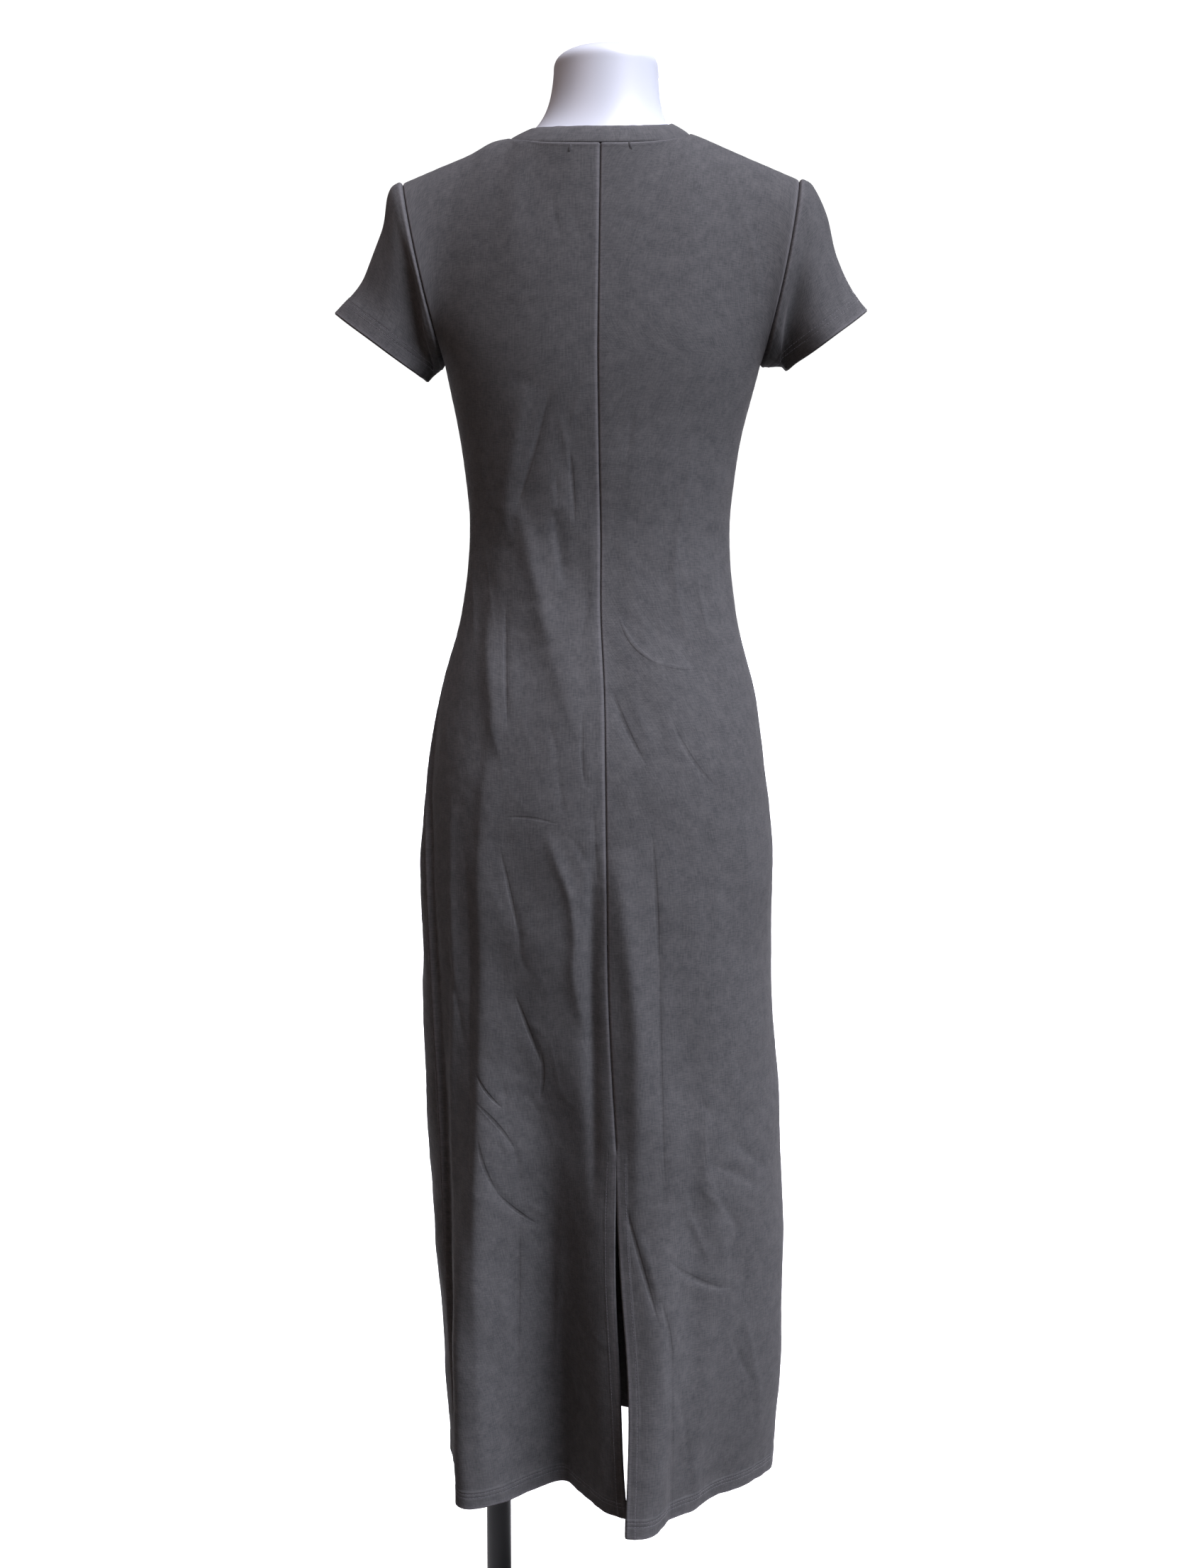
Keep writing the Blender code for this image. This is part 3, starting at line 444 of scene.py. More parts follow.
def neck_out(turn):
    """Mean of the panels' and the neckband's normals round the neck seam."""
    turn = turn % (2 * pi)
    side = np.where(turn <= pi, 1, -1)
    q = np.where(turn <= pi, turn, 2 * pi - turn)
    total = band_normals(turn, 0 * turn)
    for face, at in (("back", q), ("front", pi - q)):
        share = np.clip(at / (pi / 2), 0, 1) * NECK_SHARE
        for one in (1, -1):
            here = ((side == one) & (at <= pi / 2))[..., None]
            total = np.where(here, total + quarter_normals(face, one, share, 2.0), total)
    return unit(total)


def edge_out(face, side, share, level, edge):
    """The shared direction at one edge of a quarter: edge is centre, side or top."""
    own = quarter_normals(face, side, share, level)
    other = "front" if face == "back" else "back"
    if edge == "centre":
        return unit(own + quarter_normals(face, -side, share, level))
    if edge == "top":
        seam = unit(own + quarter_normals(other, side, share, level))
        q = pi / 2 * np.clip(share / NECK_SHARE, 0, 1)
        q = q if face == "back" else pi - q
        neck = neck_out(q if side > 0 else 2 * pi - q)
        return np.where((share < NECK_SHARE)[..., None], neck, seam)
    climb = np.clip(level - 1, 0, 1)
    turn = pi * (1 - climb) if face == "back" else pi * (1 + climb)
    seam = unit(own + quarter_normals(other, side, share, level))
    return np.where((level > 1)[..., None], armhole_out(side, turn), seam)


# %% [markdown]
# ## Creases
#
# Cotton jersey that has been folded away keeps soft troughs and ridges, and sharper marks where
# it was pressed. Each is a path drawn on the dress with its own width to either side and its own
# height. A bell curve across the path gives a soft roll; a bell that is narrow on one side and
# wide on the other catches the light as a break in the cloth.

# %% Crease table
def table(rows):
    """The numbers of each row of a written table; a row that starts with # is a note."""
    return [[float(word) for word in row.split()] for row in rows.splitlines()
            if row and row[0] != "#"]


# one row a crease, in mm: width towards +X and towards -X, height, then x and z of its places
CREASES = {"back": table("""
# upper back: the seam allowance under the centre back, and faint marks left from storage
10 9 0.6  10 1540  9.5 1450  8 1350
2.5 2.5 0.18  120 1401  70 1399  18 1396
2.5 3.5 -0.35  52 1494  49 1470  44 1446
5 5 -0.3  36 1482  30 1465  26 1448
4 4 -0.3  2 1476  -14 1468  -32 1461  -55 1448
4 4 -0.3  -67 1500  -86 1489  -98 1470
4 7 0.6  -120 1490  -133 1452  -138.5 1415  -139.5 1378
3 4 0.1  -20 1342  -57 1340  -93 1333
3 3 0.15  -83 1334  -93 1322  -105 1337
# below the left shoulder blade
22 15 4.4  74 1320  85 1270  94 1220  96 1170
5 7 -1.5  52 1318  64 1275  77 1235  88 1195
4 6 0.6  46 1292  40 1266  37 1240
3 5 0.5  20 1325  30 1300  36 1275
3.5 3.5 -0.6  48 1240  47 1205
4 4 -0.8  36 1262  33 1225  31 1190
7 17 -2.6  50 1205  46 1170  40 1130
4 4 -0.6  18 1130  22 1100  26 1080
6 5 0.35  17 1220  14.5 1120  12 1010
4 4 1  132 1205  129.5 1140  126 1070
5 7 0.6  118 1280  118 1240  112 1190
# below the right shoulder blade
4 4 -0.7  -23 1294  -20 1275  -16 1250
9 5 1.3  -81 1275  -74 1225  -63 1165  -63 1135  -70 1105  -77 1080
6 4 1  -82 1150  -89 1112  -95 1082
7 5 1.2  -112 1245  -104 1213  -97 1180
6 9 -1.3  -108 1190  -105 1155  -103 1120
# the long soft rolls over the left waist and hip
18 17 4.4  84 1215  74 1170  63 1125  54 1080
19 30 3.6  64 1120  54 1080  42 1040  28 990
12 14 3.8  111.5 1135  111 1070  107 1020  104 975
4 4 -0.9  95 1120  95 1060  93 1000
11 22 4.2  106 1020  115 940  119 860  118 760  121 660  126 540  126 400  120 200
7 8 3.4  146 960  148 860  145 760  149 640  147 480  146 300
6 7 -1.6  134 900  131 780  133 640  136 500
2.2 2.2 -0.32  96 921  78 920  62 920  45 916
# beside the centre-back seam at the hip
3.5 3.5 -0.75  21 1025  24 985  23 961  18 952  11 958  4 976
5 5 -0.7  53 1008  46 972
4 3.5 -0.6  48 978  44.5 950  41 922
4 4 0.5  6 1035  9 985  6 935
4 4 -0.8  34 904  26 891  18 878
4.5 4 -0.8  14 935  12 895  9 855
8.5 10 3.4  57 910  47 880  36 850  31 810  32 770  20 715
6 4 -1  100 890  90 845  83 815  81 790  73 772
# right hip: the curved mark under the small of the back and its neighbours
2.2 3 0.55  -10 1106  -20 1085  -30 1073  -45 1063  -60 1060  -84 1058
6 7 -0.5  -46 1100  -47 1068
3 3 -0.45  -70 1070  -82 1058
3.5 3.5 -0.55  -88 1060  -99 1046  -112 1033
7 5 -1.3  -3 1040  -12 1012  -24 988  -36 969
5 6 0.6  -21 1034  -32 1005  -44 980
3 3.5 -0.6  -59 1016  -68 990  -78 974  -90 955  -104 945
3 3 0.45  -55 1014  -56 976
3 3 0.4  -14 944  -20 928
8 8 0.7  -102 925  -103 850  -100 780
7 6 0.8  -131 940  -132 860  -134 790
6 6 -0.5  -65 900  -66 850
3 4 0.3  -50 826  -75 815  -103 810
# the centre back opens out into a ridge and a valley above the vent
20 26 10  -8 895  -17 810  -25 740  -28 660  -28 490
8 15 -8  14 900  16 800  16 700  13 540
8 5 -1.4  -38 930  -43 850  -47 790  -48 700  -51 620  -56 520
# left knee: a star of short breaks
7 5 -1.6  88 757  78 727  67 700  62.5 682  63.5 650
3.5 4 -1.1  153 800  147 765  141 730  135 685
4 3 -1  125 678  115 657  99 642
2.5 2.5 -0.55  98.5 666  96.5 638
6 4 -1  130 650  112 630  98 615  88 600  85.5 575  84 545
2.5 2.5 -0.6  107 610  95 591
6 4 -1.2  124 616  117 583  105 560  92 543  78 526  65 519
3 3 0.65  80 548  68 536  56 528
12 7 -2.6  83 540  86 480  87 420  88 320
10 12 2.8  44 560  46 450  50 380  49 260
# right knee: another star
3 3 -0.65  -87 652  -102 630
16 6 1.6  -98 640  -91 590  -100 560  -110 535
13 8 1.2  -104 540  -112 500  -118 450
5 6 -0.5  -119 704  -129 662
2.5 3 0.4  -44 599  -78 597
2.5 3 0.4  -98 605  -128 591
6 8 -1.2  -96 589  -125 572  -152 550
6 7 -1  -110 615  -135 592  -158 564
3 3 0.7  -83 576  -97 555  -108 545
2.5 3.5 0.7  -72 563  -76 540  -87 519
4 4 0.7  -77 540  -90 510  -98 488
5 5 -1.1  -108 552  -120 530  -130 508
4 5 -1.1  -55 503  -75 482  -100 467  -124 460
6 8 -0.9  -119 550  -122 500  -115 460
4 4 -1  -120 410  -132 380  -142 354
6 6 1.2  -127 456  -141 395  -150 340  -152 275
5 6 -0.8  -135 490  -130 424
# the right flap of the vent: a long break that runs down to a kink in the hem
4 4 -1.5  -15 560  -24 522  -32 495  -41 466  -49 438
4 6 0.9  -30 528  -40 494  -50 462
5 6 -2  -48 468  -58 428  -60.8 360  -60.8 300  -60 180
4 4 -0.8  -61 420  -67 375  -74 335  -80 285
5 6 0.8  -78 336  -84 285  -89 240
# the left flap: a dent above its corner
3.5 3.5 -0.8  38 374  30 330
6 5 -1.8  37 275  32 320  21 356
5 2.5 1.9  31 282  24 312  15 340
""")}
print(len(CREASES["back"]), "creases on the back")

# %% [markdown]
# The front hangs the same way, so it gets creases of the same kinds: soft rolls from the bust to
# the waist, breaks over the hips, storage marks, and short breaks round the knees.

# %% Creases of the front
CREASES["front"] = table("""
14 11 1.5  60 1380  56 1330  30 1265
11 13 1.6  -66 1375  -54 1320  -34 1250
9 12 -1.6  100 1330  85 1280  52 1220
11 9 -1.5  -98 1335  -82 1270  -56 1225
8 9 1.4  110 1250  80 1210  62 1150
8 9 1.3  -106 1255  -88 1200  -72 1140
4 5 -1.2  95 1190  50 1176  12 1182
4 5 -1.1  -88 1172  -52 1160  -10 1164
5 6 1  70 1150  30 1138  -12 1146
5 7 -1.2  112 1060  80 1035  34 1030
5 7 -1.2  -116 1040  -78 1010  -36 1006
6 8 1.1  118 960  76 930  20 934
6 8 1  -110 940  -68 918  -22 924
12 15 1.8  90 900  84 820  90 700
14 11 1.7  -86 910  -80 800  -86 690
12 12 -1.4  30 880  24 780  30 660
11 14 -1.3  -36 850  -28 750  -34 640
4 5 1.1  112 690  90 650  60 636
4 5 -1  -110 660  -86 626  -60 615
4 4 -0.8  20 660  -6 640  -30 646
5 5 1.1  120 560  100 510  72 488
5 5 -1.1  -124 540  -100 502  -70 486
9 8 1.4  70 430  62 350  66 250
8 9 1.3  -72 420  -66 340  -70 246
6 6 1  105 1440  112 1410  124 1380
6 6 1  -106 1440  -112 1408  -122 1380
2.5 3 0.3  80 1402  30 1398  -20 1400
""")
print(len(CREASES["front"]), "creases on the front")


PATH_STEPS = 32  # each path is cut into this many steps


def crease_height(face, x, z):
    """Sum over the paths of height * exp(1 - sqrt(1 + 6 (distance / width)^2)).

    That profile has a small round crest and long straight sides. It fades at both ends.
    """
    height = np.zeros(x.shape)
    t = np.linspace(0, 1, PATH_STEPS + 1)
    for towards_left, towards_right, top, *path in CREASES[face]:
        knots = np.linspace(0, 1, len(path) // 2)
        px, pz = (smooth(t, knots, np.array(path[k::2]) / 1000) for k in (0, 1))
        reach = 3 * max(towards_left, towards_right) / 1000
        near = ((x > px.min() - reach) & (x < px.max() + reach)
                & (z > pz.min() - reach) & (z < pz.max() + reach))
        dx, dz = x[near][:, None] - px, z[near][:, None] - pz
        i = np.argmin(dx * dx + dz * dz, axis=1)
        dx, dz = dx[np.arange(len(i)), i], dz[np.arange(len(i)), i]
        tx, tz = np.gradient(px)[i], np.gradient(pz)[i]
        length = np.hypot(tx, tz)
        # which side of the path: positive towards +X for a path that runs downwards
        side = (dz * tx - dx * tz) / length
        ahead = (dx * tx + dz * tz) / length
        past_end = np.where(i == 0, np.minimum(ahead, 0),
                            np.where(i == PATH_STEPS, np.maximum(ahead, 0), 0))
        width = np.where(side > 0, towards_left, towards_right) / 1000
        place = np.clip(t[i] + ahead / length / PATH_STEPS, 0, 1)
        fade = 1 - np.abs(2 * place - 1) ** 2.6
        far = (side ** 2 + past_end ** 2) / width ** 2
        height[near] += top / 1000 * fade * np.exp(1 - np.sqrt(1 + 6 * far))
    return height


# %% [markdown]
# Between the creases the cloth is never quite even. Twenty or so sine waves of about the same
# wavelength, with random directions and phases, add up to a smooth random ripple. The random
# numbers are seeded, so the dress is the same each time.

# %% Uneven cloth
def ripple(u, v, size, seed, stretch=1.8):
    """Sum of sines sin(k . (u, v / stretch) + phase) with wavelengths near size."""
    random = np.random.default_rng(seed)
    total = np.zeros(np.broadcast(u, v).shape)
    waves = 22
    for turn, phase, scale in zip(random.uniform(0, pi, waves), random.uniform(0, 2 * pi, waves),
                                  random.uniform(0.7, 1.4, waves)):
        k = 2 * pi / (size * scale)
        total += np.sin(k * (u * np.cos(turn) + v / stretch * np.sin(turn)) + phase)
    return total / np.sqrt(waves)


def crumple(u, v, seed):
    """Thin ridges where a slow random ripple passes through zero, kept in soft patches."""
    line = bell(ripple(u, v, 0.050, seed, 2.4) / 0.22)
    return line * ease(0.5 + ripple(u, v, 0.110, seed + 1, 1.3))


def unevenness(u, v, z, seed):
    """Ripples of three sizes and crumples; the skirt is looser than the upper back and chest."""
    loose = 0.22 + 0.78 * ease((1.36 - z) / 0.20)
    return loose * (0.00085 * ripple(u, v, 0.075, seed) + 0.00018 * ripple(u, v, 0.030, seed + 1)
                    + 0.00006 * ripple(u, v, 0.013, seed + 2, 1.2)
                    + 0.00022 * crumple(u, v, seed + 3) - 0.00018 * crumple(v, u, seed + 6))


# %% [markdown]
# ## Seams and hems
#
# Where two panels are sewn, their edges turn inwards and the seam is a narrow valley between two
# rounded shoulders. A hem is turned up and held by two rows of twin-needle stitching that sink
# into the cloth. All of this is a profile: a height that depends on the distance from an edge.

# %% Edge profiles
HEM_ROWS = (0.011, 0.015)  # the twin-needle rows, above the hem's edge
HEM_DEPTH = 0.018
VENT_TURN, VENT_ROW = 0.0096, 0.0082  # the vent's edges are turned back and sewn with one row
SIDE_RIDGE = {1: 0.0080, -1: 0.0016}


def seam_profile(d, along, seed):
    """Falls by 1.9 mm over the last millimetre, with a slight pucker along the seam."""
    pucker = 0.5 * np.sin(2 * pi * along / 0.0125 + 2 * ripple(along, 0 * along, 0.06, seed))
    return (-0.0019 * np.exp(-d / 0.00075) - 0.00035 * np.exp(-d / 0.0032)
            - 0.00035 * pucker * (d / 0.003) * np.exp(1 - d / 0.003) / 2)


def turned_profile(d, depth, rows):
    """A turned edge: raised by the extra layer up to its depth, with sunk stitching rows."""
    height = 0.00040 * (1 - ease((d - depth + 0.0008) / 0.0016))
    for row in rows:
        height = height - 0.00024 * bell((d - row) / 0.00055)
    return height


def hem_wave(along, d, seed):
    """Ripples that only a free edge has: they fade out over 50 mm from it."""
    return (0.0010 * ripple(along, 0 * along, 0.055, seed)
            + 0.0003 * ripple(along, 0 * along, 0.021, seed + 1)) * np.exp(-d / 0.05)


# %% [markdown]
# ## A panel of cloth as a closed mesh
#
# Each panel is a thin closed shell: its outer grid, the same grid moved in by the cloth's
# thickness, and a half-round rim between them. Solidify would do this too, but then the hem could
# not be thicker than the rest. The shell also carries a UV map in metres, so that the knit follows
# the cloth, and a "rubbed" attribute that is 1 along seams and edges, where jersey wears pale.

# %% Cloth shell
def lining_faces(index):
    """Faces over a grid's every second line; those at its border keep all the border's points."""
    rows, cols = ([*range(0, count - 1, 2), count - 1] for count in index.shape)
    by_size = {}
    for r0, r1 in zip(rows, rows[1:]):
        for c0, c1 in zip(cols, cols[1:]):
            ring = [index[r0, c0:c1] if r0 == 0 else index[r0, c0:c0 + 1],
                    index[r0:r1, c1] if c1 == cols[-1] else index[r0:r0 + 1, c1],
                    index[r1, c1:c0:-1] if r1 == rows[-1] else index[r1, c1:c1 + 1],
                    index[r1:r0:-1, c0] if c0 == 0 else index[r1:r1 + 1, c0]]
            face = np.concatenate(ring)
            by_size.setdefault(len(face), []).append(face)
    return [np.array(faces) for faces in by_size.values()]


def cloth(name, outer, out, thickness, sign, uv, rubbed, tube=False, rim=None):
    """Closed shell of a grid: outer, inner = outer - out * thickness, and a rounded rim.

    rim is how far the rim stands out at each edge point, in thicknesses: 0.5 for a free edge.
    Inside a panel nothing is seen close to, so its inner side uses only every second line.
    """
    rows, cols = outer.shape[:2]
    inner = outer - out * np.broadcast_to(thickness, (rows, cols))[..., None]
    index = np.arange(rows * cols).reshape(rows, cols)
    if tube:
        index = np.column_stack([index, index[:, 0]])
    a, b, c, d = index[:-1, :-1], index[:-1, 1:], index[1:, 1:], index[1:, :-1]
    faces = [np.stack([a, b, c, d], -1).reshape(-1, 4)]
    away = np.zeros_like(outer)  # the way the rim stands out
    away[0] += unit(outer[0] - outer[1])
    away[-1] += unit(outer[-1] - outer[-2])
    if tube:
        faces.append(faces[0][:, ::-1] + rows * cols)
        loops = [index[0], index[-1][::-1]]
    else:
        faces += [group[:, ::-1] + rows * cols for group in lining_faces(index)]
        away[:, 0] += unit(outer[:, 0] - outer[:, 1])
        away[:, -1] += unit(outer[:, -1] - outer[:, -2])
        loops = [np.concatenate([index[0], index[1:, -1], index[-1, -2::-1], index[-2::-1, 0]])]
    away = away.reshape(-1, 3)
    points = [outer.reshape(-1, 3), inner.reshape(-1, 3)]
    flat_uv = [uv.reshape(-1, 2)] * 2
    flat_rub = [rubbed.reshape(-1)] * 2
    stand = 0.5 if rim is None else rim.reshape(-1)
    count = 2 * rows * cols
    for loop in loops:
        over, under = points[0][loop], points[1][loop]
        reach = np.broadcast_to(stand, rows * cols)[loop][:, None]
        wide = np.linalg.norm(over - under, axis=1, keepdims=True)
        middle = ((over + under) / 2 + unit(away[loop]) * wide * reach)[:-1]
        ring = count + np.arange(len(middle))
        ring = np.append(ring, ring[0])
        faces.append(np.stack([loop[1:], loop[:-1], ring[:-1], ring[1:]], -1))
        faces.append(np.stack([ring[1:], ring[:-1], loop[:-1] + rows * cols,
                               loop[1:] + rows * cols], -1))
        points.append(middle)
        flat_uv.append(flat_uv[0][loop[:-1]])
        flat_rub.append(flat_rub[0][loop[:-1]])
        count += len(middle)
    return mesh_piece(name, np.concatenate(points), [group[:, ::sign] for group in faces],
                      np.concatenate(flat_uv), np.concatenate(flat_rub))


def add_object(name, data):
    made = bpy.data.objects.new(name, data)
    bpy.context.scene.collection.objects.link(made)
    return made


def mesh_piece(name, points, faces, uv=None, rubbed=None):
    """Puts whole arrays into a mesh with foreach_set and returns its object.

    faces is a list of index arrays, one for each number of corners. Points that no face uses are
    left out.
    """
    used = np.unique(np.concatenate([group.ravel() for group in faces]))
    renumber = np.zeros(len(points), np.int32)
    renumber[used] = np.arange(len(used))
    points = points[used]
    corners = np.concatenate([group.ravel() for group in faces])
    sizes = np.concatenate([np.full(len(group), group.shape[1]) for group in faces])
    mesh = bpy.data.meshes.new(name)
    mesh.vertices.add(len(points))
    mesh.vertices.foreach_set("co", np.asarray(points, np.float32).ravel())
    mesh.loops.add(len(corners))
    mesh.loops.foreach_set("vertex_index", renumber[corners])
    mesh.polygons.add(len(sizes))
    mesh.polygons.foreach_set("loop_start", (np.cumsum(sizes) - sizes).astype(np.int32))
    mesh.update(calc_edges=True)
    if uv is not None:
        layer = mesh.uv_layers.new(name="cloth")
        layer.data.foreach_set("uv", uv[corners].astype(np.float32).ravel())
    if rubbed is not None:
        attribute = mesh.attributes.new("rubbed", "FLOAT", "POINT")
        attribute.data.foreach_set("value", rubbed[used].astype(np.float32))
    mesh.shade_smooth()
    mesh.validate()
    return add_object(name, mesh)


def finish_piece(piece, material, slot, *nodes):
    """Gives a piece its finish, hangs it under the root and hides the frame's nodes it stands for;
    slot is not used.
    """
    piece.data.materials.append(material)
    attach(piece, "root")
    if nodes:
        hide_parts(*nodes)
    print(f"{piece.name}: {len(piece.data.polygons)} faces")


# %% [markdown]
# ## Materials
#
# The dress is a dense cotton interlock: fine upright wales, a slightly uneven yarn that shows as
# short level slubs, and a brushed face with a soft sheen. Real wales are about 0.7 mm apart, too
# fine for a picture of the whole dress, so here they are drawn 1.3 mm apart.

# %% Colours and nodes
def linear(hex_colour):
    """sRGB hex to linear: ((c + 0.055) / 1.055)^2.4, or c / 12.92 for very dark values."""
    srgb = [int(hex_colour[i:i + 2], 16) / 255 for i in (1, 3, 5)]
    return [c / 12.92 if c <= 0.04045 else ((c + 0.055) / 1.055) ** 2.4 for c in srgb] + [1.0]


def plug(tree, made, **inputs):
    """Sets each input to a plain value, or links it to a node's output; _0 is the first input."""
    for key, value in inputs.items():
        socket = made.inputs[int(key[1:]) if key[1:].isdigit() else key.replace("_", " ")]
        if isinstance(value, bpy.types.NodeSocket):
            tree.links.new(value, socket)
        else:
            socket.default_value = value


def node(tree, kind, out=0, **settings):
    """Adds a node and returns one output; a name in small letters is a setting, not an input."""
    made = tree.nodes.new("ShaderNode" + kind)
    for key in [key for key in settings if key[0].islower()]:
        setattr(made, key, settings.pop(key))
    plug(tree, made, **settings)
    return made.outputs[out]


def new_material(name, **constants):
    """A Principled material with its constant values set on the shader's own sockets."""
    material = bpy.data.materials.new(name)
    material.use_nodes = True
    shader = material.node_tree.nodes["Principled BSDF"]
    plug(material.node_tree, shader, **constants)
    return material, material.node_tree, shader


def painted(name, colours, cloud, rough, skin=None, **constants):
    """A finish that drifts between two colours and two roughnesses, with a fine skin.

    cloud is the drift's noise scale and detail; skin is a bump's grain size, strength and depth.
    """
    material, tree, shader = new_material(name, **constants)
    where = node(tree, "TexCoord", "Object")
    drift = node(tree, "TexNoise", Vector=where, Scale=cloud[0], Detail=cloud[1])
    plug(tree, shader, Roughness=node(tree, "MapRange", Value=drift, To_Min=rough[0],
                                      To_Max=rough[1]))
    if colours:
        first, second = (linear(colour) for colour in colours)
        plug(tree, shader, Base_Color=node(tree, "MixRGB", Fac=drift, Color1=first, Color2=second))
    if skin:
        grain = node(tree, "TexNoise", Vector=where, Scale=1 / skin[0], Detail=2.0)
        plug(tree, shader, Normal=node(tree, "Bump", Strength=skin[1], Distance=skin[2],
                                       Height=grain))
    return material


# %% [markdown]
# The sharpest creases are narrower than the spacing of the mesh lines. Those go into the material:
# each is a shallow parabola through three places, and a bump map raises or lowers the cloth along
# it. A bump bends only the light, which is all that a quarter of a millimetre can show.

# %% Pressed lines
# one row a line, in mm: half width, height, then x and z of its first end, middle and last end
PRESSED = {"back": table("""
# right hip and waist
2.6 0.42  -10 1108  -26 1078  -48 1062
2.2 0.26  -40 1066  -60 1060  -86 1058
2.4 -0.26  -57 1018  -76 977  -106 944
2.8 -0.32  -3 1042  -18 1001  -37 967
2.6 0.24  -84 1142  -90 1112  -96 1086
3 0.26  -82 1270  -71 1212  -62 1155
2.6 -0.36  -40 915  -44 850  -47.5 770
2.4 -0.38  -48 800  -49 690  -54 570
# left waist and hip
2.6 -0.4  54 1312  70 1255  88 1200
2.4 -0.26  36 1265  33 1228  31 1190
2.4 -0.34  95.5 1120  96 1060  93 1000
1.8 -0.2  100 920.5  71 921  43 915
2.2 -0.3  22 1026  24.5 990  22 952
2.4 -0.32  101 895  91 848  82 806
# left knee
2.6 -0.44  88 756  75 719  62 684
2.4 -0.4  63 700  61.5 674  66 644
2 -0.4  127 680  114 657  97 640
2.4 -0.36  130 652  107 629  87 598
2.4 -0.36  124 618  117 584  103 556
2.2 -0.36  108 563  88 538  64 518
2.8 -0.4  84 540  86.5 450  88 340
# right knee
2.6 0.26  -95 650  -94 600  -107 552
3.2 -0.24  -55 504  -85 475  -126 459
# the vent's right flap
2.6 -0.44  -15 562  -30 502  -50 436
2.6 -0.4  -50 464  -58 430  -60.8 380
2.6 -0.5  -60.5 420  -61.2 310  -60.5 200
"""), "front": table("""
2.4 -0.32  84 1220  62 1190  46 1150
2.4 -0.3  -90 1210  -70 1182  -52 1146
2.2 0.28  50 1080  30 1064  4 1060
2.2 0.28  -52 1050  -80 1030  -108 1026
2.4 -0.3  60 960  36 930  20 890
2.4 -0.3  -46 930  -60 890  -66 840
2.2 -0.34  90 670  72 640  46 622
2.2 -0.34  -70 640  -92 612  -120 600
2 0.28  26 600  6 582  -20 576
2.2 -0.3  100 520  90 480  70 450
2.2 -0.3  -60 500  -84 470  -100 430
""")}


def pressed_height(tree, lines):
    """Sum in mm of height * bell(s^2 + v^2), where s is 0 at a line's middle and 1 at its ends.

    v is the distance from the parabola sag * (1 - s^2) over the half width, so each line gets
    narrower towards its ends. Both s and v are dot products with (x, z, 1).
    """
    where = node(tree, "SeparateXYZ", "X", Vector=node(tree, "TexCoord", "Object")).node
    place = node(tree, "CombineXYZ", _0=where.outputs["X"], _1=where.outputs["Z"], _2=1.0)
    total = 0.0
    for width, height, *spots in lines:
        first, middle, last = np.array(spots).reshape(3, 2) / 1000
        centre, along = (first + last) / 2, (last - first) / 2
        half = np.linalg.norm(along)
        side = np.array([-along[1], along[0]]) / half
        sag = (middle - centre) @ side / (width / 1000)
        along, side = along / half ** 2, side / (width / 1000)
        s, v = (node(tree, "VectorMath", "Value", operation="DOT_PRODUCT", _0=place,
                     _1=(*way, -centre @ way - past)) for way, past in ((along, 0), (side, sag)))
        square = node(tree, "Math", operation="MULTIPLY", _0=s, _1=s)
        v = node(tree, "Math", operation="MULTIPLY_ADD", _0=square, _1=float(sag), _2=v)
        far = node(tree, "Math", operation="MULTIPLY_ADD", _0=v, _1=v, _2=square)
        bump = node(tree, "MapRange", interpolation_type="SMOOTHSTEP", Value=far,
                    From_Min=1.0, From_Max=0.0, To_Max=height)
        total = node(tree, "Math", operation="ADD", _0=bump, _1=total)
    return total


# %% Cotton interlock jersey
WALE, SLUB, STREAK, CLOUD = 1.3, (6.0, 1.1), (1.5, 9.0), 14.0  # sizes in mm, across and up
WAVE_TO_MM = 0.3142  # at this scale one band of the wave texture is 1 unit wide


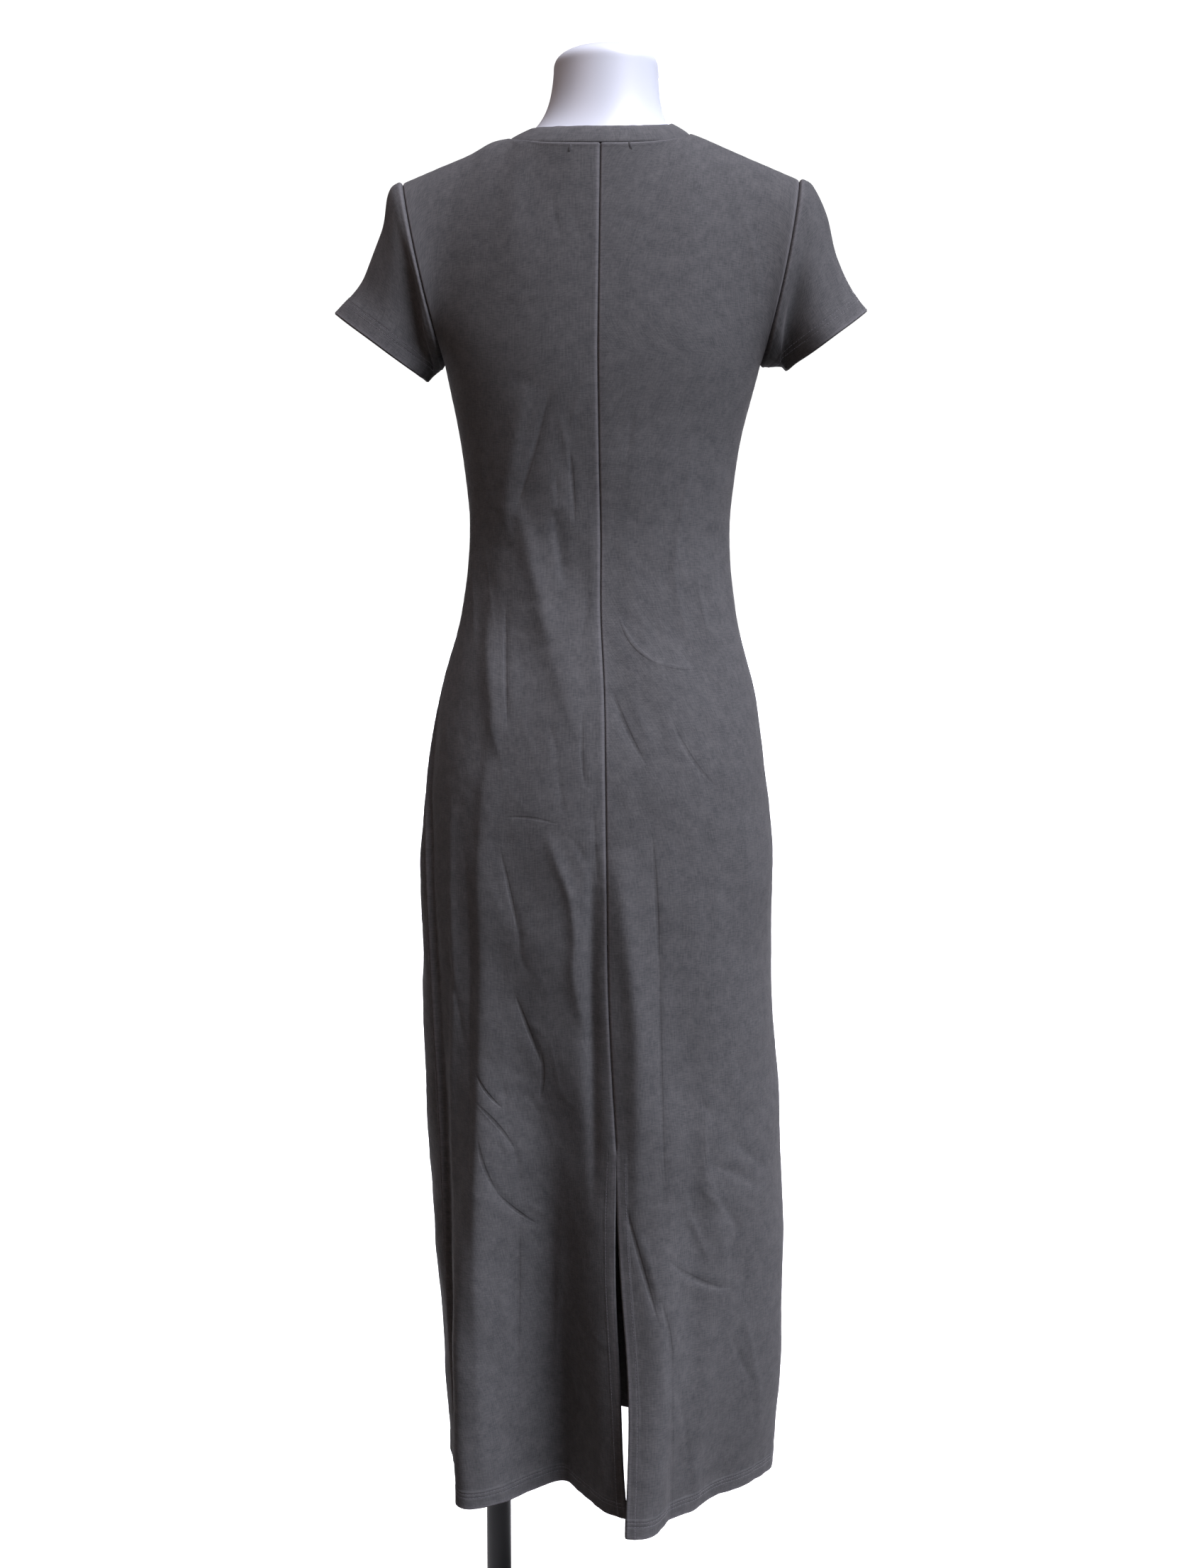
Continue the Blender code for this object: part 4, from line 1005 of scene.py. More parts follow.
def interlock(name, dark, light, worn, lines=()):
    """Knit on the cloth's own UV map, in millimetres: wales upright, slubs level."""
    material, tree, shader = new_material(
        name, Sheen_Weight=0.03, Sheen_Roughness=0.5, Sheen_Tint=linear("#e0d0cc"),
        Specular_IOR_Level=0.08)
    uv = node(tree, "UVMap", uv_map="cloth")
    mm = node(tree, "Mapping", Vector=uv, Scale=(1000, 1000, 1000))
    wale = node(tree, "TexWave", "Fac", bands_direction="X", Vector=mm, Scale=WAVE_TO_MM / WALE,
                Distortion=0.7, Detail=1.0, Detail_Scale=0.5)
    slub, streak = (
        node(tree, "TexNoise", Scale=1.0, Detail=detail, Vector=node(
            tree, "Mapping", Vector=mm, Scale=(1 / wide, 1 / high, 1)))
        for (wide, high), detail in ((SLUB, 3.0), (STREAK, 2.0)))
    cloudy = node(tree, "TexNoise", Vector=mm, Scale=1 / CLOUD, Detail=5.0)
    yarn = node(tree, "Math", operation="MULTIPLY_ADD", _0=slub, _1=1.5, _2=streak)
    yarn = node(tree, "Math", operation="ADD", _0=yarn, _1=cloudy)
    tone = node(tree, "MapRange", Value=yarn, From_Min=1.35, From_Max=2.15)
    colour = node(tree, "MixRGB", Fac=tone, Color1=linear(dark), Color2=linear(light))
    rubbed = node(tree, "Attribute", "Fac", attribute_name="rubbed")
    rub = node(tree, "Math", operation="MULTIPLY", _0=rubbed, _1=slub)
    colour = node(tree, "MixRGB", Fac=rub, Color1=colour, Color2=linear(worn))
    rough = node(tree, "MapRange", Value=slub, To_Min=0.74, To_Max=0.92)
    relief = node(tree, "Math", operation="MULTIPLY_ADD", _0=wale, _1=0.6, _2=slub)
    relief = node(tree, "Math", operation="MULTIPLY_ADD", _0=streak, _1=0.6, _2=relief)
    bump = node(tree, "Bump", Strength=0.55, Distance=0.00016, Height=relief)
    if lines:  # heights come in mm, so one unit is 0.001 m
        plug(tree, bump.node, Normal=node(tree, "Bump", Strength=1.0, Distance=0.001,
                                          Height=pressed_height(tree, lines)))
    plug(tree, shader, Base_Color=colour, Roughness=rough, Normal=bump)
    return material


COTTON = ("#434445", "#565656", "#6b6a6c")  # dark yarn, light yarn, worn edge
jersey = interlock("cotton_interlock_jersey", *COTTON)
jersey_back = {side: interlock(f"creased_jersey_back_{label}", *COTTON,
                               lines=[line for line in PRESSED["back"] if line[2] * side > 0])
               for side, label in ((1, "left"), (-1, "right"))}
jersey_front = interlock("creased_jersey_front", *COTTON, lines=PRESSED["front"])
print("jersey ready,", len(PRESSED["back"]) + len(PRESSED["front"]), "pressed lines")

# %% Sewing thread
# core-spun polyester: a little glossier than the knit, twisted every 0.6 mm
TWIST = {"cloud": (1 / 0.0006, 1.0), "rough": (0.5, 0.7), "Sheen_Weight": 0.2,
         "Specular_IOR_Level": 0.45}
thread = painted("core_spun_thread", ("#434246", "#4e4c51"), **TWIST)
tack_thread = painted("label_tack_thread", ("#0d0d0e", "#1c1b1d"), **TWIST)

# %% [markdown]
# The dress form is a white moulded shell with a satin paint, smooth but for a faint orange peel.
# Its stand is steel with a black powder coat, which dries to a fine pebbled skin.

# %% Form and stand finishes
form_white = painted("satin_white_shell", ("#ced3da", "#c6ccd4"), (9.0, 4.0), (0.34, 0.48),
                     (0.004, 0.12, 0.0002), Specular_IOR_Level=0.5, Coat_Weight=0.15,
                     Coat_Roughness=0.3)
stand_black = painted("black_powder_coat", ("#050506", "#0e0e0f"), (14.0, 5.0), (0.42, 0.6),
                      (0.0009, 0.35, 0.00015), Specular_IOR_Level=0.15)
print("form and stand finishes ready")

# %% [markdown]
# ## The body panels
#
# A panel starts as its bare surface. Then four things move it along its own normal: the creases,
# the uneven cloth, the seam profiles at its sewn edges, and the turned hem. The yoke and skirt
# meet at the underarm line, where real cloth bends gently, so the rows there are averaged, and
# so are the columns below the neck's corners.

# %% Panel maker
SEAM_BLEND = 0.004  # how far from a seam its shared direction fades out
HELD = 0.006  # and how far the seam holds the creases down


def moving_mean(points, axis, reach, width):
    """Mean over the grid lines up to reach away, weighted by a bell of the given width."""
    spread = [(reach, reach) if axis == k else (0, 0) for k in range(3)]
    padded, count = np.pad(points, spread, mode="edge"), points.shape[axis]
    offsets = np.arange(2 * reach + 1)
    weights = bell((offsets - reach) / width)
    return sum(w * np.take(padded, np.arange(k, k + count), axis)
               for k, w in zip(offsets, weights)) / weights.sum()


def soften_underarm(points, share):
    """Evens out the rows near the underarm line, but not the panel's edges."""
    near = bell((points[..., 2:] - UNDERARM_Z) / 0.045) * (1 - share[..., None] ** 10)
    near[:16] = near[-16:] = 0
    return points + (moving_mean(points, 0, 16, 8) - points) * near


def soften_shoulder(points, places, from_top, start):
    """Evens out the columns below the neck's corner, from start below the top edge down."""
    near = bell((np.abs(places) - NECK_SHARE) / 0.12) * ease(
        (from_top - start) / (start + 0.018)) * ease((points[..., 2] - UNDERARM_Z) / 0.05)
    return points + (moving_mean(points, 1, 8, 4.5) - points) * near[..., None]


def doubled(d, depth):
    """Thickness added by a turned edge's second layer, as a share of the cloth's own."""
    return 0.8 * (1 - ease((d - depth + 0.0008) / 0.0016))


def worn(d):
    """Seams rub pale a little way in from the stitching."""
    return 0.8 * bell((d - 0.0018) / 0.0012)


def panel(name, face, places, seed, centre=None):
    """Builds a panel; places run across it from -1 (right side seam) to 1 (left side seam).

    centre is the side of a panel that ends at the centre-back seam: 1, -1 or None.
    """
    share = np.abs(places)
    left = places >= 0 if centre is None else np.full(places.shape, centre > 0)
    levels = [levels_up(face, side, places, UP_SKIRT, UP_YOKE) for side in (1, -1)]
    level = np.where(left, *levels)
    points = np.where(left[:, None], *(quarter(face, side, share, own)
                                       for side, own in zip((1, -1), levels)))
    share = np.broadcast_to(share, level.shape)
    points = soften_underarm(points, share)
    rise = arc_lengths(points, 0)
    passes, start = (8, 0.002) if face == "back" else (5, 0.014)
    for _ in range(passes):
        points = soften_shoulder(points, places, rise[-1:] - rise, start)
    cut = SEAM_GAP / 4
    points[:, 0] += unit(points[:, 1] - points[:, 0]) * cut
    points[:, -1] += unit(points[:, -2] - points[:, -1]) * cut
    # under the neckband the panel's raw edge goes on a little instead
    points[-1] += unit(points[-2] - points[-1]) * np.where(
        share[-1:] < NECK_SHARE, -cut, cut).T

    sign = 1 if face == "front" else -1
    across, up = arc_lengths(points, 1), arc_lengths(points, 0)
    from_top, z = up[-1:] - up, points[..., 2]
    closed = ease((z - VENT_Z) / 0.012)
    # distance from each upright edge, its column, and which side of the body it is on
    uprights = [(across, 0, 1 if centre == 1 else -1),
                (across[:, -1:] - across, -1, -1 if centre == -1 else 1)]

    out = grid_normals(points, sign)
    edges = []
    for distance, column, side in uprights:
        kind = "centre" if share[0, column] == 0 else "side"
        shared = edge_out(face, side, share[:, column], level[:, column], kind)[:, None]
        edges.append((bell(distance / SEAM_BLEND) * (closed if kind == "centre" else 1), shared))
    top = np.where(left[:, None], *(edge_out(face, side, share[-1], level[-1], "top")
                                    for side in (1, -1)))
    for near, shared in edges + [(bell(from_top / SEAM_BLEND), top[None])]:
        out = unit(out * (1 - near[..., None]) + shared * near[..., None])

    # seams hold the cloth, so creases die out at them; only at the centre back, where both sides
    # share the same creases, do they run through
    side_seam = np.min([distance for distance, column, _ in uprights if share[0, column] > 0], 0)
    nearest = np.minimum(uprights[0][0], uprights[1][0])
    height = crease_height(face, points[..., 0], z) * (
        1 - np.exp(-np.minimum(from_top, side_seam) / HELD))
    height += unevenness(across, up, z, seed) * (1 - np.exp(-np.minimum(nearest, from_top) / HELD))
    height += hem_wave(across, up, seed + 5) * (1 - np.exp(-side_seam / 0.02))
    turned = turned_profile(up, HEM_DEPTH, HEM_ROWS)
    layers = 1 + doubled(up, HEM_DEPTH)
    rubbed = np.maximum(np.exp(-up / 0.0018), worn(from_top))
    rim = np.zeros(z.shape)
    rim[0] = 0.5
    in_neck = 1 - ease((share - NECK_SHARE) / 0.02)
    sewn = seam_profile(from_top, across, seed + 9) * (1 - 0.62 * in_neck)
    sewn += 0.00045 * in_neck * bell((from_top - 0.0024) / 0.0014)
    for distance, column, side in uprights:
        profile = seam_profile(distance, up, seed + 7)
        if share[0, column] == 0:
            sewn += profile * closed
            turned = turned + turned_profile(distance, VENT_TURN, (VENT_ROW,)) * (1 - closed)
            layers = layers + doubled(distance, VENT_TURN) * (1 - closed)
            rim[:, column] = np.maximum(rim[:, column], 0.5 * (1 - closed[:, column]))
        else:
            sewn += profile + SIDE_RIDGE[side] * ease((1.12 - z) / 0.25) * (
                bell(distance / 0.0048) - 0.62 * bell(distance / 0.018))
        rubbed = np.maximum(rubbed, worn(distance))
    points = points + out * (height + sewn + turned)[..., None]
    uv = np.stack([across, up], -1)
    return cloth(name, points, out, CLOTH * layers, sign, uv, rubbed, rim=rim), points, up


# %% Left back, right back and front
back_left, back_left_points, back_left_up = panel("back_left_panel", "back", ACROSS, 11, 1)
back_right, back_right_points, back_right_up = panel(
    "back_right_panel", "back", -ACROSS[::-1], 23, -1)
FRONT_ACROSS = stations(0.250, 0.0046, np.array([0.0]))
front, front_points, front_up = panel(
    "front_panel", "front", np.concatenate([-FRONT_ACROSS[:0:-1], FRONT_ACROSS]), 37)
finish_piece(back_left, jersey_back[1], "jersey", "back_left")
finish_piece(back_right, jersey_back[-1], "jersey", "back_right")
finish_piece(front, jersey_front, "jersey", "front")

# %% [markdown]
# ## The sleeves
#
# A sleeve is a tube from the armhole to its hem. Its head is eased into the armhole, so it stands
# up in a small roll just outside the seam, and its underarm seam runs down to the hem. Two or
# three shallow folds fall from the head.

# %% Sleeve folds and maker
# one row a fold: its place round the sleeve at the armhole and at the hem and its width, in
# degrees, where along the sleeve it begins and ends to fade (0 armhole, 1 hem), height in mm
SLEEVE_FOLDS = {1: table("""
0 0 46 0.02 0.16 2.2
6 0 50 0.22 0.7 -6
30 24 14 0.35 0.4 -1.2
122 118 24 0.05 0.85 -4.2
72 84 20 0.2 1.3 1.6
156 150 11 0.05 1.3 2
230 222 24 0.05 1.3 -4
290 280 18 0.1 1.3 2
330 318 14 0.2 0.7 -1.2
"""), -1: table("""
0 0 46 0.02 0.4 3.2
4 0 44 0.4 0.7 -1
34 26 14 0.35 0.4 -1
124 120 24 0.25 0.85 -2.4
76 84 20 0.2 1.3 1.4
158 152 16 0.3 1.3 0.8
236 228 24 0.05 1.3 -4.2
286 278 18 0.1 1.3 1.8
326 316 14 0.2 0.7 -1
""")}
SLEEVE_HEM_ROWS, SLEEVE_HEM_DEPTH = (0.012, 0.0165), 0.0195
SLEEVE_HEM_LINES = np.array([
    0, 0.4, 0.9, 1.6, 2.6, 4.2, 6.4, 8.8, 10.7, 11.4, 11.75, 12.0, 12.25, 12.6, 13.3, 15.2, 15.9,
    16.25, 16.5, 16.75, 17.1, 18.0, 18.8, 19.6, 20.4, 22.0]) / 1000


def sleeve_piece(name, side, seed):
    """The sleeve's tube, with folds, eased head, armhole seam, underarm seam and hem."""
    fine = np.linspace(0, 2 * pi, 1441)
    run = arc_lengths(armhole(side, fine)[None], 1)[0]
    turn = np.interp(np.linspace(0, run[-1], 145)[:-1], run, fine)
    around, down = np.meshgrid(turn, 1 - stations(0.150, 0.0040, SLEEVE_HEM_LINES))
    points = sleeve(side, around, down, gap=SEAM_GAP / 3)
    from_hem = arc_lengths(points, 0)
    from_seam = from_hem[-1:] - from_hem
    girth = arc_lengths(points[:, np.r_[:len(turn), 0]], 1)[:, :-1]
    degrees = np.degrees(around)
    near = bell(from_seam / SEAM_BLEND)[..., None]
    out = unit(grid_normals(points, side, tube=True) * (1 - near)
               + armhole_out(side, turn)[None] * near)
    height = 0.0006 * ripple(np.sin(around) * 0.05, from_hem + np.cos(around) * 0.05, 0.05, seed)
    for start, end, width, first, last, depth in SLEEVE_FOLDS[side]:
        centre = start + (end - start) * down
        grown = ease((down - first) / 0.25) * (1 - ease((down - last) / 0.25))
        height += depth / 1000 * grown * bell(((degrees - centre + 180) % 360 - 180) / width)
    height *= 1 - np.exp(-from_seam / HELD)
    # the head stands up in a roll just outside the armhole seam, most of all at the top
    head = (0.5 + 0.5 * np.cos(around)) ** 2
    height += 0.0008 * bell((from_seam - 0.0028) / 0.0018)
    height += 0.0018 * head * bell((from_seam - 0.009) / 0.007)
    height += turned_profile(from_hem, SLEEVE_HEM_DEPTH, SLEEVE_HEM_ROWS)
    height += hem_wave(np.sin(around) * 0.06, from_hem + np.cos(around) * 0.06, seed + 3) * 0.7
    height += seam_profile(from_seam, girth, seed + 4)
    under = np.abs(degrees - 180) * 0.00083  # metres from the underarm seam
    height -= 0.0009 * bell(under / 0.0016)
    points = points + out * height[..., None]
    rubbed = np.maximum(np.exp(-from_hem / 0.0018), 0.8 * bell((from_seam - 0.0024) / 0.0014))
    rim = np.zeros(around.shape)
    rim[0] = 0.5
    uv = np.stack([girth[:1] + 0 * girth, from_hem], -1)
    layers = 1 + doubled(from_hem, SLEEVE_HEM_DEPTH)
    piece = cloth(name, points, out, CLOTH * layers, side, uv, rubbed, tube=True, rim=rim)
    return piece, points, from_hem


sleeves = {}
for side, label, seed in ((1, "left", 51), (-1, "right", 67)):
    sleeves[side] = sleeve_piece(f"{label}_sleeve", side, seed)
    finish_piece(sleeves[side][0], jersey, "jersey", f"sleeve_{label}")

# %% [markdown]
# ## The neckband
#
# A strip of the same jersey, cut across the wales, folded double and stretched round the neck. Its
# fold is the upper edge, so that edge is round; its raw edges are inside the neck seam.

# %% Neckband
def neckband_piece():
    up = stations(0.020, 0.0016, SEAM_LINES[:-1], np.array([0.0, 0.4, 1.0, 1.8]) / 1000)
    around, climb = np.meshgrid(np.linspace(0, 2 * pi, 181)[:-1], up)
    points = neckband(around, climb)
    points[0] += unit(points[1] - points[0]) * SEAM_GAP / 2
    from_seam = arc_lengths(points, 0)
    near = bell(from_seam / SEAM_BLEND)[..., None]
    out = unit(grid_normals(points, -1, tube=True) * (1 - near) + neck_out(around[:1]) * near)
    girth = arc_lengths(points[:, np.r_[:points.shape[1], 0]], 1)[:, :-1]
    length = girth[-1].max()
    even = np.sin(around) * length / 6, np.cos(around) * length / 6
    height = 0.00025 * ripple(*even, 0.030, 71) + 0.0001 * ripple(*even, 0.012, 72)
    height = height + 0.38 * seam_profile(from_seam, girth, 73)
    points = points + out * height[..., None]
    rubbed = np.exp(-(from_seam[-1:] - from_seam) / 0.0022)
    rim = np.zeros(around.shape)
    rim[-1] = 0.5
    uv = np.stack([from_seam, girth[-1:] + 0 * girth], -1)  # wales run round the neck
    return cloth("neckband_strip", points, out, BAND_CLOTH, -1, uv, rubbed, True, rim), length


band, band_length = neckband_piece()
finish_piece(band, jersey, "jersey", "neckband")
print("neckband, mm round:", round(band_length * 1000))

# %% [markdown]
# ## Stitches
#
# Each stitch is a short rounded bar of thread that lies in the groove of its row. One small bar
# is worked out once, and numpy places a copy of it at every step along a row, so thousands of
# stitches cost no more code than one.

# %% Rows of stitches
STITCH, STITCH_PITCH, THREAD_WIDTH, LIFTED = 0.0026, 0.0031, 0.00046, 0.00005


def thread_bar(length, width):
    """A bar along X: six-sided rings whose radius follows sqrt(1 - s^4), lifted to lie flat."""
    s = np.array([-1.0, -0.86, -0.45, 0.45, 0.86, 1.0])
    ring = np.arange(6) * pi / 3
    radius = width / 2 * np.sqrt(np.maximum(1 - s ** 4, 0.02))
    x = np.broadcast_to((s * length / 2)[:, None], (6, 6))
    y = radius[:, None] * np.cos(ring)
    z = radius[:, None] * np.sin(ring) * 0.8 - width * 0.25 * s[:, None] ** 4
    return np.stack([x, y, z], -1).reshape(-1, 3)


def bar_faces():
    """Quads round the bar's side, and two to close each end."""
    index = np.arange(36).reshape(6, 6)
    turned = np.roll(index, -1, axis=1)
    side = np.stack([index[:-1], turned[:-1], turned[1:], index[1:]], -1).reshape(-1, 4)
    first, last = index[0], index[5]
    return np.concatenate([side, [first[3::-1], first[[0, 5, 4, 3]], last[:4],
                                  last[[3, 4, 5, 0]]]])


def line_at(points, distance, at):
    """The line on a grid where its running distance (growing along axis 0) equals at."""
    row = np.clip((distance < at).sum(axis=0), 1, len(distance) - 1)
    col = np.arange(points.shape[1])
    low, high = distance[row - 1, col], distance[row, col]
    share = np.clip((at - low) / (high - low), 0, 1)[:, None]
    return points[row - 1, col] * (1 - share) + points[row, col] * share


def sewn_rows(name, rows, material, length=STITCH, pitch=STITCH_PITCH, width=THREAD_WIDTH):
    """One mesh of stitches; rows holds (line, outward normals) pairs."""
    places = []
    for line, out in rows:
        run = np.concatenate([[0], np.cumsum(np.linalg.norm(np.diff(line, axis=0), axis=1))])
        count = max(1, int(run[-1] / pitch))
        at = (np.arange(count) + 0.5) * run[-1] / count
        centre, before, after, up = (
            np.stack([np.interp(at + shift, run, values[:, k]) for k in range(3)], -1)
            for values, shift in ((line, 0), (line, -pitch / 3), (line, pitch / 3), (out, 0)))
        along = unit(after - before)
        across = unit(np.cross(up, along))
        places.append(np.stack([along, across, np.cross(along, across), centre], 1))
    places = np.concatenate(places)
    bar = thread_bar(length, width)
    points = np.einsum("vk,nkc->nvc", bar, places[:, :3]) + places[:, None, 3]
    quads = bar_faces()[None] + 36 * np.arange(len(places))[:, None, None]
    piece = mesh_piece(name, points.reshape(-1, 3), [quads.reshape(-1, 4)])
    finish_piece(piece, material, "jersey")
    print("  ", len(places), "stitches")


def hem_rows(points, distance, sign, rows, tube=False):
    """The stitching lines of a hem, with the normals of the cloth under them."""
    out = grid_normals(points, sign, tube)
    lines = []
    for row in rows:
        line, normal = line_at(points, distance, row), line_at(out, distance, row)
        if tube:
            line, normal = np.append(line, line[:1], 0), np.append(normal, normal[:1], 0)
        lines.append((line + normal * LIFTED, normal))
    return lines


sewn_rows("hem_stitches", hem_rows(back_left_points, back_left_up, -1, HEM_ROWS)
          + hem_rows(back_right_points, back_right_up, -1, HEM_ROWS)
          + hem_rows(front_points, front_up, 1, HEM_ROWS), thread)
for side, label in ((1, "left"), (-1, "right")):
    _, points, from_hem = sleeves[side]
    sewn_rows(f"{label}_sleeve_stitches",
              hem_rows(points, from_hem, side, SLEEVE_HEM_ROWS, tube=True), thread)


# %% Vent stitches and label tacks
def vent_row(points, side):
    """The single row beside a vent edge, from the top of the vent to the hem."""
    out = grid_normals(points, -1)[:, ::side]
    points = points[:, ::side]
    low = points[:, 0, 2] < VENT_Z - 0.004
    across = arc_lengths(points, 1).T
    line = line_at(points.transpose(1, 0, 2), across, VENT_ROW)[low]
    normal = line_at(out.transpose(1, 0, 2), across, VENT_ROW)[low]
    return line + normal * LIFTED, normal


sewn_rows("vent_stitches", [vent_row(back_left_points, 1), vent_row(back_right_points, -1)], thread)


TACK_X, TACK_DOWN, TACK_HALF, TACK_APART = 0.0275, 0.0050, 0.0036, 0.0004


def tack(points, side, slant):
    """Two strong stitches side by side, where the label inside the neck is caught down."""
    out = grid_normals(points, -1)
    from_top = arc_lengths(points, 0)
    from_top = from_top[-1:] - from_top
    row = np.argmin(np.abs(from_top[:, 0] - TACK_DOWN))
    col = np.argmin(np.abs(points[row, :, 0] - (NECK_SHIFT + side * TACK_X)))
    centre, normal = points[row, col], unit(out[row, col])
    down = unit(np.cross(normal, [1.0, 0.0, 0.0]) + np.array([slant, 0, 0])) * TACK_HALF
    ends = np.array([centre - down, centre + down]) + normal * TACK_APART
    return [(ends + np.array([shift, 0, 0]), np.array([normal] * 2))
            for shift in (-TACK_APART, TACK_APART)]


sewn_rows("label_tacks", tack(back_left_points, 1, 0.25) + tack(back_right_points, -1, -0.25),
          tack_thread, length=0.0074, pitch=2 * TACK_HALF, width=0.0015)

# %% [markdown]
# ## The dress form
#
# The form is the same block as the dress, moved in under the cloth, so the dress hangs on it the
# way it hangs on a body. Four quarter grids meet along their edges, the arm stumps are closed by
# shallow domes, and the neck is one smooth run of rings up to its rounded top.

# %% Form surfaces
FORM_Z, FORM_CLEARANCE, FORM_ROOM = 0.800, 0.0006, 0.0032
NECK_CLEARANCE, BAND_CLEARANCE, ARM_CAP_BULGE = 0.0034, 0.0015, 0.014
NECK_RADIUS, NECK_SHOULDER, NECK_TOP, NECK_FLARE = 0.0503, 1.6185, 1.6392, 2.5
NECK_MIDDLE, CORNER_CLEARANCE = 0.001, 0.010


def form_quarter(face, side, shares, levels):
    """The dress's surface moved in along its normal by the block's inset."""
    share, level = np.meshgrid(shares, levels)
    points = quarter(face, side, share, level, folded=False)
    out = grid_normals(points, -1 if (face == "back") == (side > 0) else 1)
    z = HEM_Z + (UNDERARM_Z - HEM_Z) * np.clip(levels, 0, 1)
    at_arm, at_shoulder = section("inset", UNDERARM_Z), CLOTH + FORM_CLEARANCE
    inset = np.where(levels <= 1, section("inset", z),
                     at_arm + (at_shoulder - at_arm) * ease((levels - 1) * 1.4)) + FORM_ROOM
    at_neck = NECK_CLEARANCE * (1 - ease(2 * (shares - NECK_SHARE) / NECK_SHARE)) * ease(
        levels - 1)[:, None]
    # below the neck's corner the cloth is drawn in, so the form goes further in under it
    at_corner = CORNER_CLEARANCE * bell((shares - NECK_SHARE) / 0.16) * (
        ease((2 - levels) / 0.06) * ease((levels - 1) / 0.3))[:, None]
    moved = points - out * (inset[:, None] + at_neck + at_corner)[..., None]
    moved[0, :, 2] = FORM_Z
    return moved


def weld(name, grids):
    """Joins grids of points into one mesh, merges equal points and turns the faces outwards."""
    points, quads, count = [], [], 0
    for grid in grids:
        rows, cols = grid.shape[:2]
        index = count + np.arange(rows * cols).reshape(rows, cols)
        quads.append(np.stack([index[:-1, :-1], index[:-1, 1:], index[1:, 1:], index[1:, :-1]],
                              -1).reshape(-1, 4))
        points.append(grid.reshape(-1, 3))
        count += rows * cols
    piece = mesh_piece(name, np.concatenate(points), quads)
    work = bmesh.new()
    work.from_mesh(piece.data)
    bmesh.ops.remove_doubles(work, verts=work.verts, dist=2e-6)
    bmesh.ops.dissolve_degenerate(work, edges=work.edges, dist=1e-7)
    bmesh.ops.recalc_face_normals(work, faces=work.faces)
    work.to_mesh(piece.data)
    work.free()
    piece.data.shade_smooth()
    piece.data.set_sharp_from_angle(angle=radians(40))
    return piece


